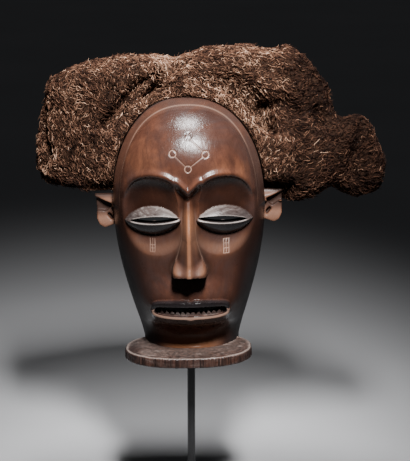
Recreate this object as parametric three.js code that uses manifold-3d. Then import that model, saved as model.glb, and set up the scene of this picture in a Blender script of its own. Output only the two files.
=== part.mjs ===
// A carved wooden face mask with a collar under the chin and a looped-fibre headdress,
// held up by a thin black rod on a plain black foot.
// Millimetres, +Z up. The face looks along -Y. The origin is the middle of the foot's underside,
// on the rod's axis.
import * as THREE from 'three';
import { mergeVertices } from 'three/addons/utils/BufferGeometryUtils.js';
import Module from 'manifold-3d';

const wasm = await Module();
wasm.setup();

// The stand.
const FOOT_WIDTH = 130;
const FOOT_DEPTH = 110;
const FOOT_HEIGHT = 12;
const FOOT_CORNER = 5;
const FOOT_BEVEL = 1.2;
const ROD_RADIUS = 3.6;
const ROD_TIP = 2.4;

// Where the mask is held: its own frame has z = 0 at the collar's underside.
const MASK_LIFT = 144;
const MASK_SIDEWAYS = 0.5;
const MASK_BACK = 22;
const MASK_ROLL = THREE.MathUtils.degToRad(-1);

// The mask's outline from the front.
const MASK_TOP = 231;
const WIDEST_HALF = 69;
const WIDEST_AT = 134;
const JAW_HALF = 43.5;
const JAW_SWELL = 1.15;
const ARCH_POWER = 2.3;

// The mask from the side: how far the middle of the face stands in front of y = 0.
const REAR_EDGE = 8;
const CLOSING_FROM = 165;
const CLOSING_POWER = 2.2;
const FRONT_PROFILE = [
  [0, 41], [9, 40.5], [14, 37], [20, 35.5], [27, 39], [35, 49], [50, 57],
  [64, 59], [90, 57.5], [120, 58.5], [145, 62], [CLOSING_FROM, 62],
];
const SECTION_POWER = 2.3;

// The hollow behind the face.
const HOLLOW_TOP = 221;
const HOLLOW_PAST = 6;
const SIDE_WALL = 9;
const HOLLOW_PROFILE = [
  [-6, 29], [10, 29], [30, 32], [50, 43], [90, 43], [130, 41], [CLOSING_FROM, 46],
];

// The collar, a flat ledge round the chin.
const COLLAR_HALF = 57;
const COLLAR_THICK = 9;
const COLLAR_SIDEWAYS = -2.6;
const COLLAR_CENTRE = -33;
const COLLAR_HALF_DEPTH = 39;
const COLLAR_POWER = 2.3;
const COLLAR_BEVEL = 1;

// Eyes, in round sunken sockets whose edge is soft over the cheeks and steep under the brow.
const SOCKET = { x: 30.7, z: 135, halfWidth: 28, halfHeight: 36, depth: 12, power: 2.3 };
const SOFT_EDGE = { z: 119, rim: 2, wall: 1.3 };
const STEEP_EDGE = { z: 149, rim: 4, wall: 0.75 };
// Between the sockets the brows meet in a V over a smaller hollow.
const SADDLE = { full: 144, bottom: 116, halfWidth: 14, depth: 7.5, wall: 3.7, rim: 0.5 };
const BROW_V = { tip: 156, slope: 0.97, bendAt: 7, bend: 0.1, lean: 0.72 };
const BROW = { out: 1.9, width: 2.3, height: 2.2, from: 146, full: 156 };
const EYE = { x: 31.8, z: 129.6, halfWidth: 25, up: 13, down: 13, height: 12, tilt: 0.06 };
const EYE_CURVES = { outline: 0.8, across: 1.5, edge: 0.7, along: 0.55 };
const SLIT = { x: 30, z: 130.5, halfWidth: 22, down: 0.3, up: 4, tilt: 0.09 };
const SLOT_RISE = 0.32;

// Nose and mouth.
const NOSE_RIDGE = [[84, 25.5], [97, 22], [115, 15], [136, 7.5], [150, 2], [156, 0]];
const NOSE_FLANK = [[84, 15.5], [90, 15], [101, 10.4], [115, 6.6], [136, 5.2], [156, 4]];
const NOSE_RIDGE_HALF = 1.8;
const NOSE_UNDERSIDE = [[0, 85.4], [4, 85.2], [10, 84.2], [15, 83.8]];
const NOSE_STEP = [-1.6, 0.6];
const NOSE_WING = { halfWidth: 15, height: 17, power: 3, full: 90, end: 101 };
const NOSE_BLEND = 4;
const MUZZLE = { z: 50, halfWidth: 46, halfHeight: 36, height: 6, fall: 1.5 };
const MOUTH = { x: 0.2, z: 51.5, drop: 1.7, halfWidth: 35, height: 8, recess: 8, power: 4 };
const LIP_DIP = { depth: 1.2, halfWidth: 3 };
// Nested outlines of each lip, from the opening outwards: half width, height and how far forward.
const UPPER_LIP = [[31.5, 4.3, 0.7], [34, 8.6, 0.8], [35.4, 10, 0]];
const LOWER_LIP = [[31.5, 4.2, 0.75], [34.8, 7.3, 1], [35.3, 13, 0.7], [35.7, 16, 0]];
const MOUTH_GAP = { x: MOUTH.x, z: 51.8, halfWidth: 26, down: 1.5, up: 1.5, tilt: 0 };

// The border band that frames the forehead, and the ears.
const BAND = { width: 6.4, step: 0.9, soft: 0.6, from: 126, full: 160 };
const RIM_FADE = 0.06;
const SMALLEST_REACH = 8;
const EAR_OUTLINE = [
  [58, 143.6], [86, 143.4], [84.6, 138], [84.2, 121], [81.5, 115.5], [77, 112.8], [66, 117], [58, 120],
];
const EAR_THICK = 10;
const EAR_BEVEL = 0.8;
const EAR_LIFT = 2.8;
// A spike above, a lobe below, and between them a pit that opens outwards.
const EAR_PIT = [[90, 140.6], [84.5, 140.6], [69.8, 135.2], [70.5, 132], [75.5, 127.9]];
const EAR_LOBE_TOP = { left: 128.6, right: 132.6, x: 82.3 };
const EAR_FOLD = [[74.8, 124.6], [73, 126.4], [69.8, 123], [69.8, 118.6]];
const EAR_PIT_DEPTH = 6.5;
const EAR_ROOM = { x: 73, z: 124, width: 30, height: 46.5 };

// The headdress: rounded lobes joined into one mass. at and radii are in the mask's frame,
// and lean tips a lobe's top to the left.
const LOBES = [
  { at: [-73.5, 36, 172], radii: [69, 43, 84], boxy: 2.7, lean: -0.08 },
  { at: [-58.5, 36, 227], radii: [54, 38, 39], boxy: 3, lean: 0.14 },
  { at: [-28.5, 10, 251], radii: [12, 13, 14], boxy: 2, lean: 0.5 },
  { at: [23.5, 40, 240], radii: [57, 36, 32], boxy: 2.7, lean: 0.19 },
  { at: [66.5, 39, 208], radii: [68, 42, 58], boxy: 2.9, lean: 0.43 },
  { at: [96.5, 13, 174], radii: [38, 30, 43], boxy: 2.7, lean: 0.35 },
  { at: [125.5, 18, 177], radii: [34, 28, 33], boxy: 2.7, lean: 0.1 },
  { at: [150.5, 22, 171], radii: [28, 27, 38.5], boxy: 3.2, lean: 0.27 },
  { at: [-1.5, 66, 204], radii: [96, 42, 58], boxy: 2.6, lean: 0 },
];
const HEM = { left: 146, right: 140, end: 60 };
// Twisted strands along the rim of the forehead: radii and y are spread evenly from end to end.
const ROLL = {
  from: -0.4, to: 1.5, radii: [11, 15, 16.5, 16, 13, 8, 5], y: [14, 14, 12, 6, 1, -1, -1],
};
const LEFT_BAND = { from: -0.36, to: -1.3, radii: [10, 13, 13, 11, 7], y: [14, 11, 6, 1, 0] };
const STRAND_PRESS = 0.5;
const HEAD_SPACE = { at: [0, 36, 148], radii: [63, 60, 86], boxy: 2.6 };
const CHEEK_LEVEL = 60;
const CLEARANCE = 0.4;
const FAR_OUT = 200;

// How finely the solids are faceted.
const FACE_COLUMNS = 17;
const LIP_ROWS = [35.5, 38, 40.5, 42.5, 44.2, 45.8, 47.2, 48.4, 51, 54.6, 55.9, 57.8, 59.8, 61.7, 64];
const NOSE_ROWS = [82.4, 83.8, 85, 86.2, 89, 92.5, 96.5];
const BROW_TOP = 177;
const CLOSING_ROWS = 9;
const HOLLOW_COLUMNS = 8;
const HOLLOW_ROWS = 11;
const COLLAR_STEPS = 40;
const SLOT_STEPS = 8;
const ARCH_STEPS = 40;
const LOBE_SIDES = 16;
const LOBE_RINGS = 10;
const STRAND_SIDES = 9;
const STRAND_STEPS = 14;
const ROD_SIDES = 16;
const ROD_TIP_STEPS = 3;

const WOOD = new THREE.MeshStandardMaterial({ color: 0x5a3020, roughness: 0.42, metalness: 0 });
const FIBRE = new THREE.MeshStandardMaterial({ color: 0x4b3828, roughness: 0.95, metalness: 0 });
const BLACK_STEEL = new THREE.MeshStandardMaterial({ color: 0x0c0c0d, roughness: 0.5, metalness: 0.6 });

const { clamp, lerp, smoothstep } = THREE.MathUtils;

// A smooth curve through [position, value] pairs, level beyond its ends.
function profile(points, at) {
  const last = points.length - 1;
  if (at <= points[0][0]) return points[0][1];
  if (at >= points[last][0]) return points[last][1];
  const slope = (i) => {
    const a = points[Math.max(i - 1, 0)];
    const b = points[Math.min(i + 1, last)];
    return (b[1] - a[1]) / (b[0] - a[0]);
  };
  const i = points.findIndex((p) => p[0] > at) - 1;
  const [a, b] = [points[i], points[i + 1]];
  const span = b[0] - a[0];
  const t = (at - a[0]) / span;
  const start = (1 + 2 * t) * (1 - t) ** 2;
  const end = t * t * (3 - 2 * t);
  const lean = t * (1 - t) ** 2 * slope(i) - t * t * (1 - t) * slope(i + 1);
  return start * a[1] + end * b[1] + span * lean;
}

// Straight lines through [position, value] pairs.
function polyline(points, at) {
  const last = points.length - 1;
  const past = points.findIndex((p) => p[0] > at);
  const i = past < 0 ? last : Math.max(past, 1);
  const [a, b] = [points[i - 1], points[i]];
  return lerp(a[1], b[1], clamp((at - a[0]) / (b[0] - a[0]), 0, 1));
}

// The quarter of a superellipse: 1 at 0, falling to 0 at 1.
function roundOff(share, power) {
  return (1 - clamp(share, 0, 1) ** power) ** (1 / power);
}

function radiusIn(x, z, region) {
  const { halfWidth: a, halfHeight: b, power = 2 } = region;
  return (Math.abs(x / a) ** power + Math.abs(z / b) ** power) ** (1 / power);
}

function halfWidth(z) {
  if (z >= WIDEST_AT) {
    return WIDEST_HALF * roundOff((z - WIDEST_AT) / (MASK_TOP - WIDEST_AT), ARCH_POWER);
  }
  const share = clamp((z - COLLAR_THICK) / (WIDEST_AT - COLLAR_THICK), 0, 1);
  return lerp(JAW_HALF, WIDEST_HALF, Math.sin((share * Math.PI) / 2) ** JAW_SWELL);
}

// Depth of the section at z, from the rear edge to the middle of the front.
function sectionDepth(points, top, z) {
  const front = profile(points, z) + REAR_EDGE;
  return front * roundOff((z - CLOSING_FROM) / (top - CLOSING_FROM), CLOSING_POWER);
}

// How far inside the outline a point lies, seen from the front.
function insideOutline(x, z) {
  if (z <= WIDEST_AT) return halfWidth(z) - Math.abs(x);
  const high = MASK_TOP - WIDEST_AT;
  const [across, up] = [Math.abs(x) / WIDEST_HALF, (z - WIDEST_AT) / high];
  const r = (across ** ARCH_POWER + up ** ARCH_POWER) ** (1 / ARCH_POWER);
  const power = ARCH_POWER - 1;
  return (1 - r) / Math.hypot((across / r) ** power / WIDEST_HALF, (up / r) ** power / high);
}

// Carving, as millimetres forward of the plain section; x is measured from the middle.
function sockets(x, z) {
  const r = radiusIn(x - SOCKET.x, z - SOCKET.z, SOCKET);
  const steep = smoothstep(z, SOFT_EDGE.z, STEEP_EDGE.z);
  const rim = lerp(SOFT_EDGE.rim, STEEP_EDGE.rim, steep);
  const wall = lerp(SOFT_EDGE.wall, STEEP_EDGE.wall, steep);
  const bowl = r < 1 ? SOCKET.depth * (1 - r ** rim) ** wall : 0;
  const top = BROW_V.tip + BROW_V.slope * x - BROW_V.bend * Math.max(x - BROW_V.bendAt, 0) ** 2;
  const full = Math.max(0, 1 - (x / SADDLE.halfWidth) ** 4) * smoothstep(z, SADDLE.bottom, SADDLE.full);
  const saddle = SADDLE.depth * full * smoothstep(top - z, -SADDLE.rim, SADDLE.wall - SADDLE.rim);
  const beyond = Math.min((r - 1) * SOCKET.halfWidth, (z - top) * BROW_V.lean);
  const crest = Math.exp(-(((beyond - BROW.out) / BROW.width) ** 2));
  return BROW.height * crest * smoothstep(z, BROW.from, BROW.full) - Math.max(bowl, saddle);
}

function eye(x, z) {
  const along = (x - EYE.x) / EYE.halfWidth;
  const fullness = Math.max(0, 1 - along * along);
  const above = z - EYE.z + EYE.tilt * (x - EYE.x);
  const reach = (above > 0 ? EYE.up : EYE.down) * fullness ** EYE_CURVES.outline;
  if (reach < 0.01 || Math.abs(above) > reach) return 0;
  const across = 1 - (Math.abs(above) / reach) ** EYE_CURVES.across;
  return EYE.height * fullness ** EYE_CURVES.along * across ** EYE_CURVES.edge;
}

function nose(x, z) {
  const ridge = polyline(NOSE_RIDGE, z);
  const flank = polyline(NOSE_FLANK, z);
  const bridge = ridge * clamp((flank - x) / (flank - NOSE_RIDGE_HALF), 0, 1);
  const low = 1 - smoothstep(z, NOSE_WING.full, NOSE_WING.end);
  const wing = NOSE_WING.height * low * roundOff(x / NOSE_WING.halfWidth, NOSE_WING.power);
  const joined = (bridge ** NOSE_BLEND + wing ** NOSE_BLEND) ** (1 / NOSE_BLEND);
  const underside = polyline(NOSE_UNDERSIDE, x);
  const [below, above] = NOSE_STEP;
  return joined * smoothstep(z, underside + below, underside + above);
}

function mouth(x, z) {
  const bulge = radiusIn(x, z - MUZZLE.z, MUZZLE);
  const muzzle = bulge < 1 ? MUZZLE.height * (1 - bulge * bulge) ** MUZZLE.fall : 0;
  const above = z - MOUTH.z + MOUTH.drop * (x / MOUTH.halfWidth) ** 2;
  const lip = above > 0 ? UPPER_LIP : LOWER_LIP;
  const dip = Math.sign(above) * LIP_DIP.depth * Math.exp(-((x / LIP_DIP.halfWidth) ** 2));
  const radii = lip.map(([across, height], i) => {
    const halfHeight = i > 0 ? height - dip : height;
    return radiusIn(x, above, { halfWidth: across, halfHeight, power: MOUTH.power });
  });
  const within = radii.findIndex((r) => r < 1);
  if (within < 0) return muzzle;
  if (within === 0) return muzzle + MOUTH.height * lip[0][2] - MOUTH.recess;
  const share = (radii[within - 1] - 1) / (radii[within - 1] - radii[within]);
  return muzzle + MOUTH.height * lerp(lip[within - 1][2], lip[within][2], share);
}

// A point of the carved surface, from its height and its share of the half width, -1 to 1.
function facePoint(z, share) {
  const x = halfWidth(z) * share;
  const side = Math.abs(x);
  const forward = sectionDepth(FRONT_PROFILE, MASK_TOP, z) * roundOff(Math.abs(share), SECTION_POWER);
  const inBand = smoothstep(BAND.width - insideOutline(x, z), -BAND.soft, BAND.soft);
  const lowered = BAND.step * inBand * smoothstep(z, BAND.from, BAND.full);
  const shrink = 1 - lowered / Math.max(Math.hypot(side, forward), SMALLEST_REACH);
  const relief = sockets(side, z) + eye(side, z) + nose(side, z) + mouth(Math.abs(x - MOUTH.x), z);
  const fade = smoothstep(1 - Math.abs(share), 0, RIM_FADE);
  return [x * shrink, REAR_EDGE - forward * shrink - relief * fade, z];
}

function evenly(from, to, count) {
  return Array.from({ length: count }, (_, i) => lerp(from, to, i / count));
}

// Values that crowd together towards the far end, as a dome closes.
function closingIn(from, to, count) {
  return evenly(0, 1, count).map((t) => lerp(from, to, Math.sin((t * Math.PI) / 2)));
}

// Heights of the rows of facets, closer together where the carving is fine.
function faceRows() {
  return [
    0, ...evenly(COLLAR_THICK, LIP_ROWS[0], 5), ...LIP_ROWS, ...evenly(69, NOSE_ROWS[0], 3),
    ...NOSE_ROWS, ...evenly(101, SADDLE.bottom, 3), ...evenly(SADDLE.bottom, 148, 12),
    ...evenly(148, BROW_TOP, 12), ...closingIn(BROW_TOP, MASK_TOP, CLOSING_ROWS),
  ];
}

// Ordered shares of the half width, closer together at the nose and at the sides.
function shares(count) {
  const right = Array.from({ length: count }, (_, i) => Math.sin((Math.PI / 2) * ((i + 1) / count) ** 1.4));
  return [...right.map((s) => -s).reverse(), 0, ...right];
}

// Skins a stack of rings, each a loop of the same number of points, from a base point to an apex.
function stackedRings(rings, base, apex) {
  const size = rings[0].length;
  const positions = rings.flat(2);
  const faces = [];
  for (let row = 0; row + 1 < rings.length; row += 1) {
    for (let i = 0; i < size; i += 1) {
      const j = (i + 1) % size;
      const [a, b] = [row * size + i, row * size + j];
      faces.push(a, b, b + size, a, b + size, a + size);
    }
  }
  const last = (rings.length - 1) * size;
  const top = positions.length / 3;
  positions.push(...apex);
  for (let i = 0; i < size; i += 1) faces.push(last + i, last + ((i + 1) % size), top);
  positions.push(...base);
  for (let i = 0; i < size; i += 1) faces.push((i + 1) % size, i, top + 1);
  const geometry = new THREE.BufferGeometry();
  geometry.setAttribute('position', new THREE.Float32BufferAttribute(positions, 3));
  geometry.setIndex(faces);
  return geometry;
}

// A closed geometry as a manifold, ready to cut and join.
function solid(geometry) {
  const bare = geometry.clone();
  for (const name of Object.keys(bare.attributes)) {
    if (name !== 'position') bare.deleteAttribute(name);
  }
  const merged = mergeVertices(bare, 1e-4);
  const mesh = new wasm.Mesh({
    numProp: 3,
    vertProperties: new Float32Array(merged.attributes.position.array),
    triVerts: new Uint32Array(merged.index.array),
  });
  mesh.merge();
  return new wasm.Manifold(mesh);
}

function toGeometry(manifold) {
  const mesh = manifold.getMesh();
  const geometry = new THREE.BufferGeometry();
  geometry.setAttribute('position', new THREE.BufferAttribute(new Float32Array(mesh.vertProperties), 3));
  geometry.setIndex(new THREE.BufferAttribute(new Uint32Array(mesh.triVerts), 1));
  geometry.computeVertexNormals();
  return geometry;
}

function join(manifolds) {
  return manifolds.reduce((whole, next) => whole.add(next));
}

// An outline in x and z, given thickness along y from near to far.
function plate(points, near, far, bevel = 0) {
  const outline = new THREE.Shape(points.map(([x, z]) => new THREE.Vector2(x, z)));
  const geometry = new THREE.ExtrudeGeometry(outline, {
    depth: far - near - 2 * bevel,
    bevelEnabled: bevel > 0,
    bevelThickness: bevel,
    bevelSize: bevel,
    bevelOffset: -bevel,
    bevelSegments: 1,
  });
  geometry.rotateX(Math.PI / 2);
  geometry.translate(0, far - bevel, 0);
  return geometry;
}

function faceBody() {
  const columns = shares(FACE_COLUMNS);
  const rings = faceRows().map((z) => columns.map((share) => facePoint(z, share)));
  return solid(stackedRings(rings, [0, -REAR_EDGE, 0], [0, REAR_EDGE, MASK_TOP]));
}

// The space behind the face, open at the back and down through the collar.
function hollow() {
  const columns = shares(HOLLOW_COLUMNS);
  const back = REAR_EDGE + HOLLOW_PAST;
  const rows = [
    ...evenly(HOLLOW_PROFILE[0][0], WIDEST_AT, HOLLOW_ROWS),
    ...closingIn(WIDEST_AT, HOLLOW_TOP, HOLLOW_ROWS - 2),
  ];
  const rings = rows.map((z) => {
    const arch = roundOff((z - WIDEST_AT) / (HOLLOW_TOP - WIDEST_AT), ARCH_POWER);
    const half = (halfWidth(Math.min(z, WIDEST_AT)) - SIDE_WALL) * arch;
    const depth = sectionDepth(HOLLOW_PROFILE, HOLLOW_TOP, z);
    const front = columns.map((share) => {
      return [half * share, REAR_EDGE - depth * roundOff(Math.abs(share), SECTION_POWER), z];
    });
    return [...front, [half, back, z], [-half, back, z]];
  });
  return solid(stackedRings(rings, [0, 0, rows[0]], [0, REAR_EDGE, HOLLOW_TOP]));
}

function collar() {
  const outline = new THREE.Shape();
  for (let i = 0; i < COLLAR_STEPS; i += 1) {
    const angle = (i / COLLAR_STEPS) * 2 * Math.PI;
    const [c, s] = [Math.cos(angle), Math.sin(angle)];
    const across = (COLLAR_HALF - COLLAR_BEVEL) * Math.sign(c) * Math.abs(c) ** (2 / COLLAR_POWER);
    const along = (COLLAR_HALF_DEPTH - COLLAR_BEVEL) * Math.sign(s) * Math.abs(s) ** (2 / COLLAR_POWER);
    const [x, y] = [COLLAR_SIDEWAYS + across, COLLAR_CENTRE + along];
    if (i === 0) outline.moveTo(x, y);
    else outline.lineTo(x, y);
  }
  const geometry = new THREE.ExtrudeGeometry(outline, {
    depth: COLLAR_THICK - 2 * COLLAR_BEVEL,
    bevelThickness: COLLAR_BEVEL,
    bevelSize: COLLAR_BEVEL,
    bevelSegments: 1,
  });
  geometry.translate(0, 0, COLLAR_BEVEL);
  return solid(geometry);
}

// The right-hand ear, which sits a little higher, or the left-hand one where side is -1.
function ear(side) {
  const near = REAR_EDGE - EAR_THICK;
  const [lift, lobeTop] = side > 0 ? [EAR_LIFT, EAR_LOBE_TOP.right] : [0, EAR_LOBE_TOP.left];
  const turned = (points) => points.map(([x, z]) => [side * x, z + lift]);
  const pit = (points) => solid(plate(turned(points), near - EAR_BEVEL - 1, near + EAR_PIT_DEPTH));
  const openPit = [...EAR_PIT, [EAR_LOBE_TOP.x, lobeTop], [EAR_PIT[0][0], lobeTop]];
  return solid(plate(turned(EAR_OUTLINE), near, REAR_EDGE, EAR_BEVEL))
    .subtract(join([pit(openPit), pit(EAR_FOLD)]));
}

// A slot through the wall between two bows, rising towards the back so that no light comes straight in.
function slot({ x, z, halfWidth: halfLength, down, up, tilt }) {
  const edge = (i, bow) => {
    const t = (2 * i) / SLOT_STEPS - 1;
    return [x + halfLength * t, z + bow * (1 - t * t) - tilt * halfLength * t];
  };
  const lower = Array.from({ length: SLOT_STEPS }, (_, i) => edge(i, -down));
  const upper = Array.from({ length: SLOT_STEPS }, (_, i) => edge(SLOT_STEPS - i, up));
  const geometry = plate([...lower, ...upper], -FAR_OUT, REAR_EDGE - 2);
  const position = geometry.attributes.position;
  for (let i = 0; i < position.count; i += 1) {
    const [, front] = facePoint(z, position.getX(i) / halfWidth(z));
    position.setZ(i, position.getZ(i) + SLOT_RISE * (position.getY(i) - front));
  }
  return solid(geometry);
}

function maskSolid() {
  const outside = join([faceBody(), collar(), ear(1), ear(-1)]);
  const leftSlit = { ...SLIT, x: -SLIT.x, tilt: -SLIT.tilt };
  const slots = join([slot(SLIT), slot(leftSlit), slot(MOUTH_GAP)]);
  return outside.subtract(hollow()).subtract(slots);
}

// A rounded, more or less boxy lobe.
function lobe({ at, radii, boxy, lean = 0 }) {
  const geometry = new THREE.SphereGeometry(1, LOBE_SIDES, LOBE_RINGS);
  const position = geometry.attributes.position;
  const point = new THREE.Vector3();
  for (let i = 0; i < position.count; i += 1) {
    point.fromBufferAttribute(position, i);
    const powers = point.toArray().reduce((sum, value) => sum + Math.abs(value) ** boxy, 0);
    point.divideScalar(powers ** (1 / boxy));
    position.setXYZ(i, point.x, point.y, point.z);
  }
  geometry.scale(...radii);
  geometry.rotateY(-lean);
  geometry.translate(...at);
  return solid(geometry);
}

// A point just outside the forehead's arch; angle 0 is the top and positive goes to the right.
function alongArch(angle, offset, y) {
  const z = lerp(WIDEST_AT, MASK_TOP, Math.abs(Math.cos(angle)) ** (2 / ARCH_POWER));
  const x = halfWidth(z) * Math.sign(angle);
  return new THREE.Vector3(x + offset * Math.sin(angle), y, z + offset * Math.cos(angle));
}

// A strand of changing thickness along the arch of the forehead, lying against the rim.
function strand({ from, to, radii, y }) {
  const stops = radii.map((radius, i) => {
    return alongArch(lerp(from, to, i / (radii.length - 1)), STRAND_PRESS * radius, y[i]);
  });
  const path = new THREE.CatmullRomCurve3(stops);
  const thickness = radii.map((radius, i) => [i / (radii.length - 1), radius]);
  const { normals, binormals } = path.computeFrenetFrames(STRAND_STEPS, false);
  const rings = normals.map((normal, step) => {
    const t = step / STRAND_STEPS;
    const middle = path.getPointAt(t);
    const radius = polyline(thickness, path.getUtoTmapping(t));
    return Array.from({ length: STRAND_SIDES }, (_, i) => {
      const angle = (i / STRAND_SIDES) * 2 * Math.PI;
      return middle.clone()
        .addScaledVector(normal, radius * Math.cos(angle))
        .addScaledVector(binormals[step], radius * Math.sin(angle))
        .toArray();
    });
  });
  return solid(stackedRings(rings, path.getPointAt(0).toArray(), path.getPointAt(1).toArray()));
}

// Everything that the front of the mask covers, so that no fibre stands before the face.
function faceShadow() {
  const arch = Array.from({ length: ARCH_STEPS + 1 }, (_, i) => {
    const angle = lerp(Math.PI / 2, -Math.PI / 2, i / ARCH_STEPS);
    const point = alongArch(angle, CLEARANCE, 0);
    return [point.x, point.z];
  });
  const half = WIDEST_HALF + CLEARANCE;
  const outline = [[half, CHEEK_LEVEL], ...arch, [-half, CHEEK_LEVEL]];
  return solid(plate(outline, -FAR_OUT, REAR_EDGE + CLEARANCE));
}

function earRoom(side) {
  const room = new THREE.BoxGeometry(EAR_ROOM.width, EAR_THICK + 2 * CLEARANCE, EAR_ROOM.height);
  room.translate(side * EAR_ROOM.x, REAR_EDGE - EAR_THICK / 2, EAR_ROOM.z);
  return solid(room);
}

// What is trimmed off along the lower hem, left of the lumps that hang at the right.
function belowHem() {
  const outline = [[-FAR_OUT, 0], [HEM.end, 0], [HEM.end, HEM.right], [-FAR_OUT, HEM.left]];
  return solid(plate(outline, -FAR_OUT, FAR_OUT));
}

function headdressSolid() {
  const mass = join([...LOBES.map(lobe), strand(ROLL), strand(LEFT_BAND)]);
  return mass.subtract(join([faceShadow(), lobe(HEAD_SPACE), belowHem(), earRoom(1), earRoom(-1)]));
}

function rodBetween(bottom, top) {
  const shoulder = top - ROD_TIP;
  const points = [new THREE.Vector2(0, bottom), new THREE.Vector2(ROD_RADIUS, bottom)];
  for (let i = 0; i <= ROD_TIP_STEPS; i += 1) {
    const angle = (i / ROD_TIP_STEPS) * (Math.PI / 2);
    const radius = ROD_RADIUS - ROD_TIP * (1 - Math.cos(angle));
    points.push(new THREE.Vector2(radius, shoulder + ROD_TIP * Math.sin(angle)));
  }
  points.push(new THREE.Vector2(0, top));
  return new THREE.LatheGeometry(points, ROD_SIDES).rotateX(Math.PI / 2);
}

// The rod stands up to just under the hollow's ceiling, found by cutting the mask with a longer rod.
function standRod(maskGeometry, maskMatrix) {
  const mask = solid(maskGeometry.clone().applyMatrix4(maskMatrix));
  const probe = solid(rodBetween(FOOT_HEIGHT, MASK_LIFT + MASK_TOP));
  const ceiling = probe.intersect(mask).boundingBox().min[2];
  return rodBetween(FOOT_HEIGHT, ceiling - CLEARANCE);
}

function standFoot() {
  const r = FOOT_CORNER;
  const w = FOOT_WIDTH / 2 - FOOT_BEVEL;
  const d = FOOT_DEPTH / 2 - FOOT_BEVEL;
  const outline = new THREE.Shape();
  outline.absarc(w - r, d - r, r, 0, Math.PI / 2);
  outline.absarc(r - w, d - r, r, Math.PI / 2, Math.PI);
  outline.absarc(r - w, r - d, r, Math.PI, 1.5 * Math.PI);
  outline.absarc(w - r, r - d, r, 1.5 * Math.PI, 2 * Math.PI);
  const geometry = new THREE.ExtrudeGeometry(outline, {
    depth: FOOT_HEIGHT - 2 * FOOT_BEVEL,
    bevelThickness: FOOT_BEVEL,
    bevelSize: FOOT_BEVEL,
    bevelSegments: 1,
    curveSegments: 4,
  });
  return geometry.translate(0, 0, FOOT_BEVEL);
}

function named(name, geometry, material) {
  const mesh = new THREE.Mesh(geometry, material);
  mesh.name = name;
  return mesh;
}

const mask = named('mask', toGeometry(maskSolid()), WOOD);
const held = new THREE.Group();
held.position.set(MASK_SIDEWAYS, MASK_BACK, MASK_LIFT);
held.rotation.y = MASK_ROLL;
held.add(mask);
held.add(named('headdress', toGeometry(headdressSolid()), FIBRE));
held.updateMatrixWorld(true);

const part = new THREE.Group();
part.add(held);
part.add(named('stand_rod', standRod(mask.geometry, mask.matrixWorld), BLACK_STEEL));
part.add(named('stand_foot', standFoot(), BLACK_STEEL));

export default part;
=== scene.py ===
# A carved wooden face mask with a collar under the chin and a looped-fibre headdress,
# held up by a thin black rod on a plain black foot.
# The face is carved in millimetres in the mask's own frame: z = 0 is the collar's underside,
# y = REAR_EDGE is the rim behind the face, and the face looks along -Y.
import math

import bpy
import numpy as np
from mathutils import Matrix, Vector
from mathutils.bvhtree import BVHTree


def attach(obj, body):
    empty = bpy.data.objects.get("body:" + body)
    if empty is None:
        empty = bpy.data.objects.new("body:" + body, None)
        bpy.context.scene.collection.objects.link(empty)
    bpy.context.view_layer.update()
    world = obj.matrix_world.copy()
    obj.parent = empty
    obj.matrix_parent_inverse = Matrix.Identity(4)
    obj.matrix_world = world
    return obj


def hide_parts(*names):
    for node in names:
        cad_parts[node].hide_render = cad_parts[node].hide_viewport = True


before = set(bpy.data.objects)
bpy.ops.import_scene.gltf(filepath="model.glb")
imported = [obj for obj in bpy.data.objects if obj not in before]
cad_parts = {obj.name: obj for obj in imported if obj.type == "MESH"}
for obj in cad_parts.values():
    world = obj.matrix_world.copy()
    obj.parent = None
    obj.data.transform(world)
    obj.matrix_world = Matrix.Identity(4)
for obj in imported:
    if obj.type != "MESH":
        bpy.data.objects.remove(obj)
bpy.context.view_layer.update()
rng = np.random.default_rng(20)

MM = 0.001
MASK_AT = np.array([0.5, 22.0, 144.0])
MASK_ROLL = math.radians(-1)

# The mask's outline and profile.
MASK_TOP = 231
WIDEST_HALF = 69
WIDEST_AT = 134
JAW_HALF = 43.5
JAW_SWELL = 1.15
ARCH_POWER = 2.3
REAR_EDGE = 8
CLOSING_FROM = 165
CLOSING_POWER = 2.2
FRONT_PROFILE = [
    (0, 41), (9, 40.5), (14, 37), (20, 35.5), (27, 39), (35, 49), (50, 57),
    (64, 59), (90, 57.5), (120, 58.5), (145, 62), (CLOSING_FROM, 62),
]
SECTION_POWER = 2.3
HOLLOW_FOOT = -6
HOLLOW_TOP = 221
HOLLOW_PAST = 6
SIDE_WALL = 9
HOLLOW_PROFILE = [(HOLLOW_FOOT, 29), (10, 29), (30, 32), (50, 43), (90, 43), (130, 41), (CLOSING_FROM, 46)]

# The collar.
COLLAR_HALF = 57
COLLAR_THICK = 9
COLLAR_SIDEWAYS = -2.6
COLLAR_CENTRE = -33
COLLAR_HALF_DEPTH = 39
COLLAR_POWER = 2.3

# Eyes, brows and sockets. Between two heights a socket's wall turns from gentle to steep.
SOCKET_X, SOCKET_Z, SOCKET_HALF, SOCKET_HIGH = 30.7, 135, 28, 36
SOCKET_DEPTH, SOCKET_POWER, SOCKET_STEEPENS = 12, 2.3, (119, 149)
SOCKET_WALL, SOCKET_WALL_STEEPER, SOCKET_FLOOR, SOCKET_FLOOR_FLATTER = 2, 1.4, 1.3, 0.35
SADDLE_TOP, SADDLE_HALF, SADDLE_BOTTOM, SADDLE_DEPTH = 156, 14, 116, 7.5
SADDLE_FULL, SADDLE_WALL = 144, (-0.5, 8)
V_SLOPE, V_BEND_AT, V_BEND, V_SQUARE = 0.97, 7, 0.1, 0.72
BROW_HEIGHT, BROW_CREST, BROW_RISES = 2.2, (1.9, 2.3), (146, 156)
EYE_X, EYE_Z, EYE_HALF, EYE_HIGH, EYE_HEIGHT, EYE_TILT = 31.8, 129.6, 25, 13, 12, 0.06
EYE_TAPER, EYE_ARCH, EYE_ALONG, EYE_ACROSS = 0.8, 1.5, 0.55, 0.7
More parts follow.
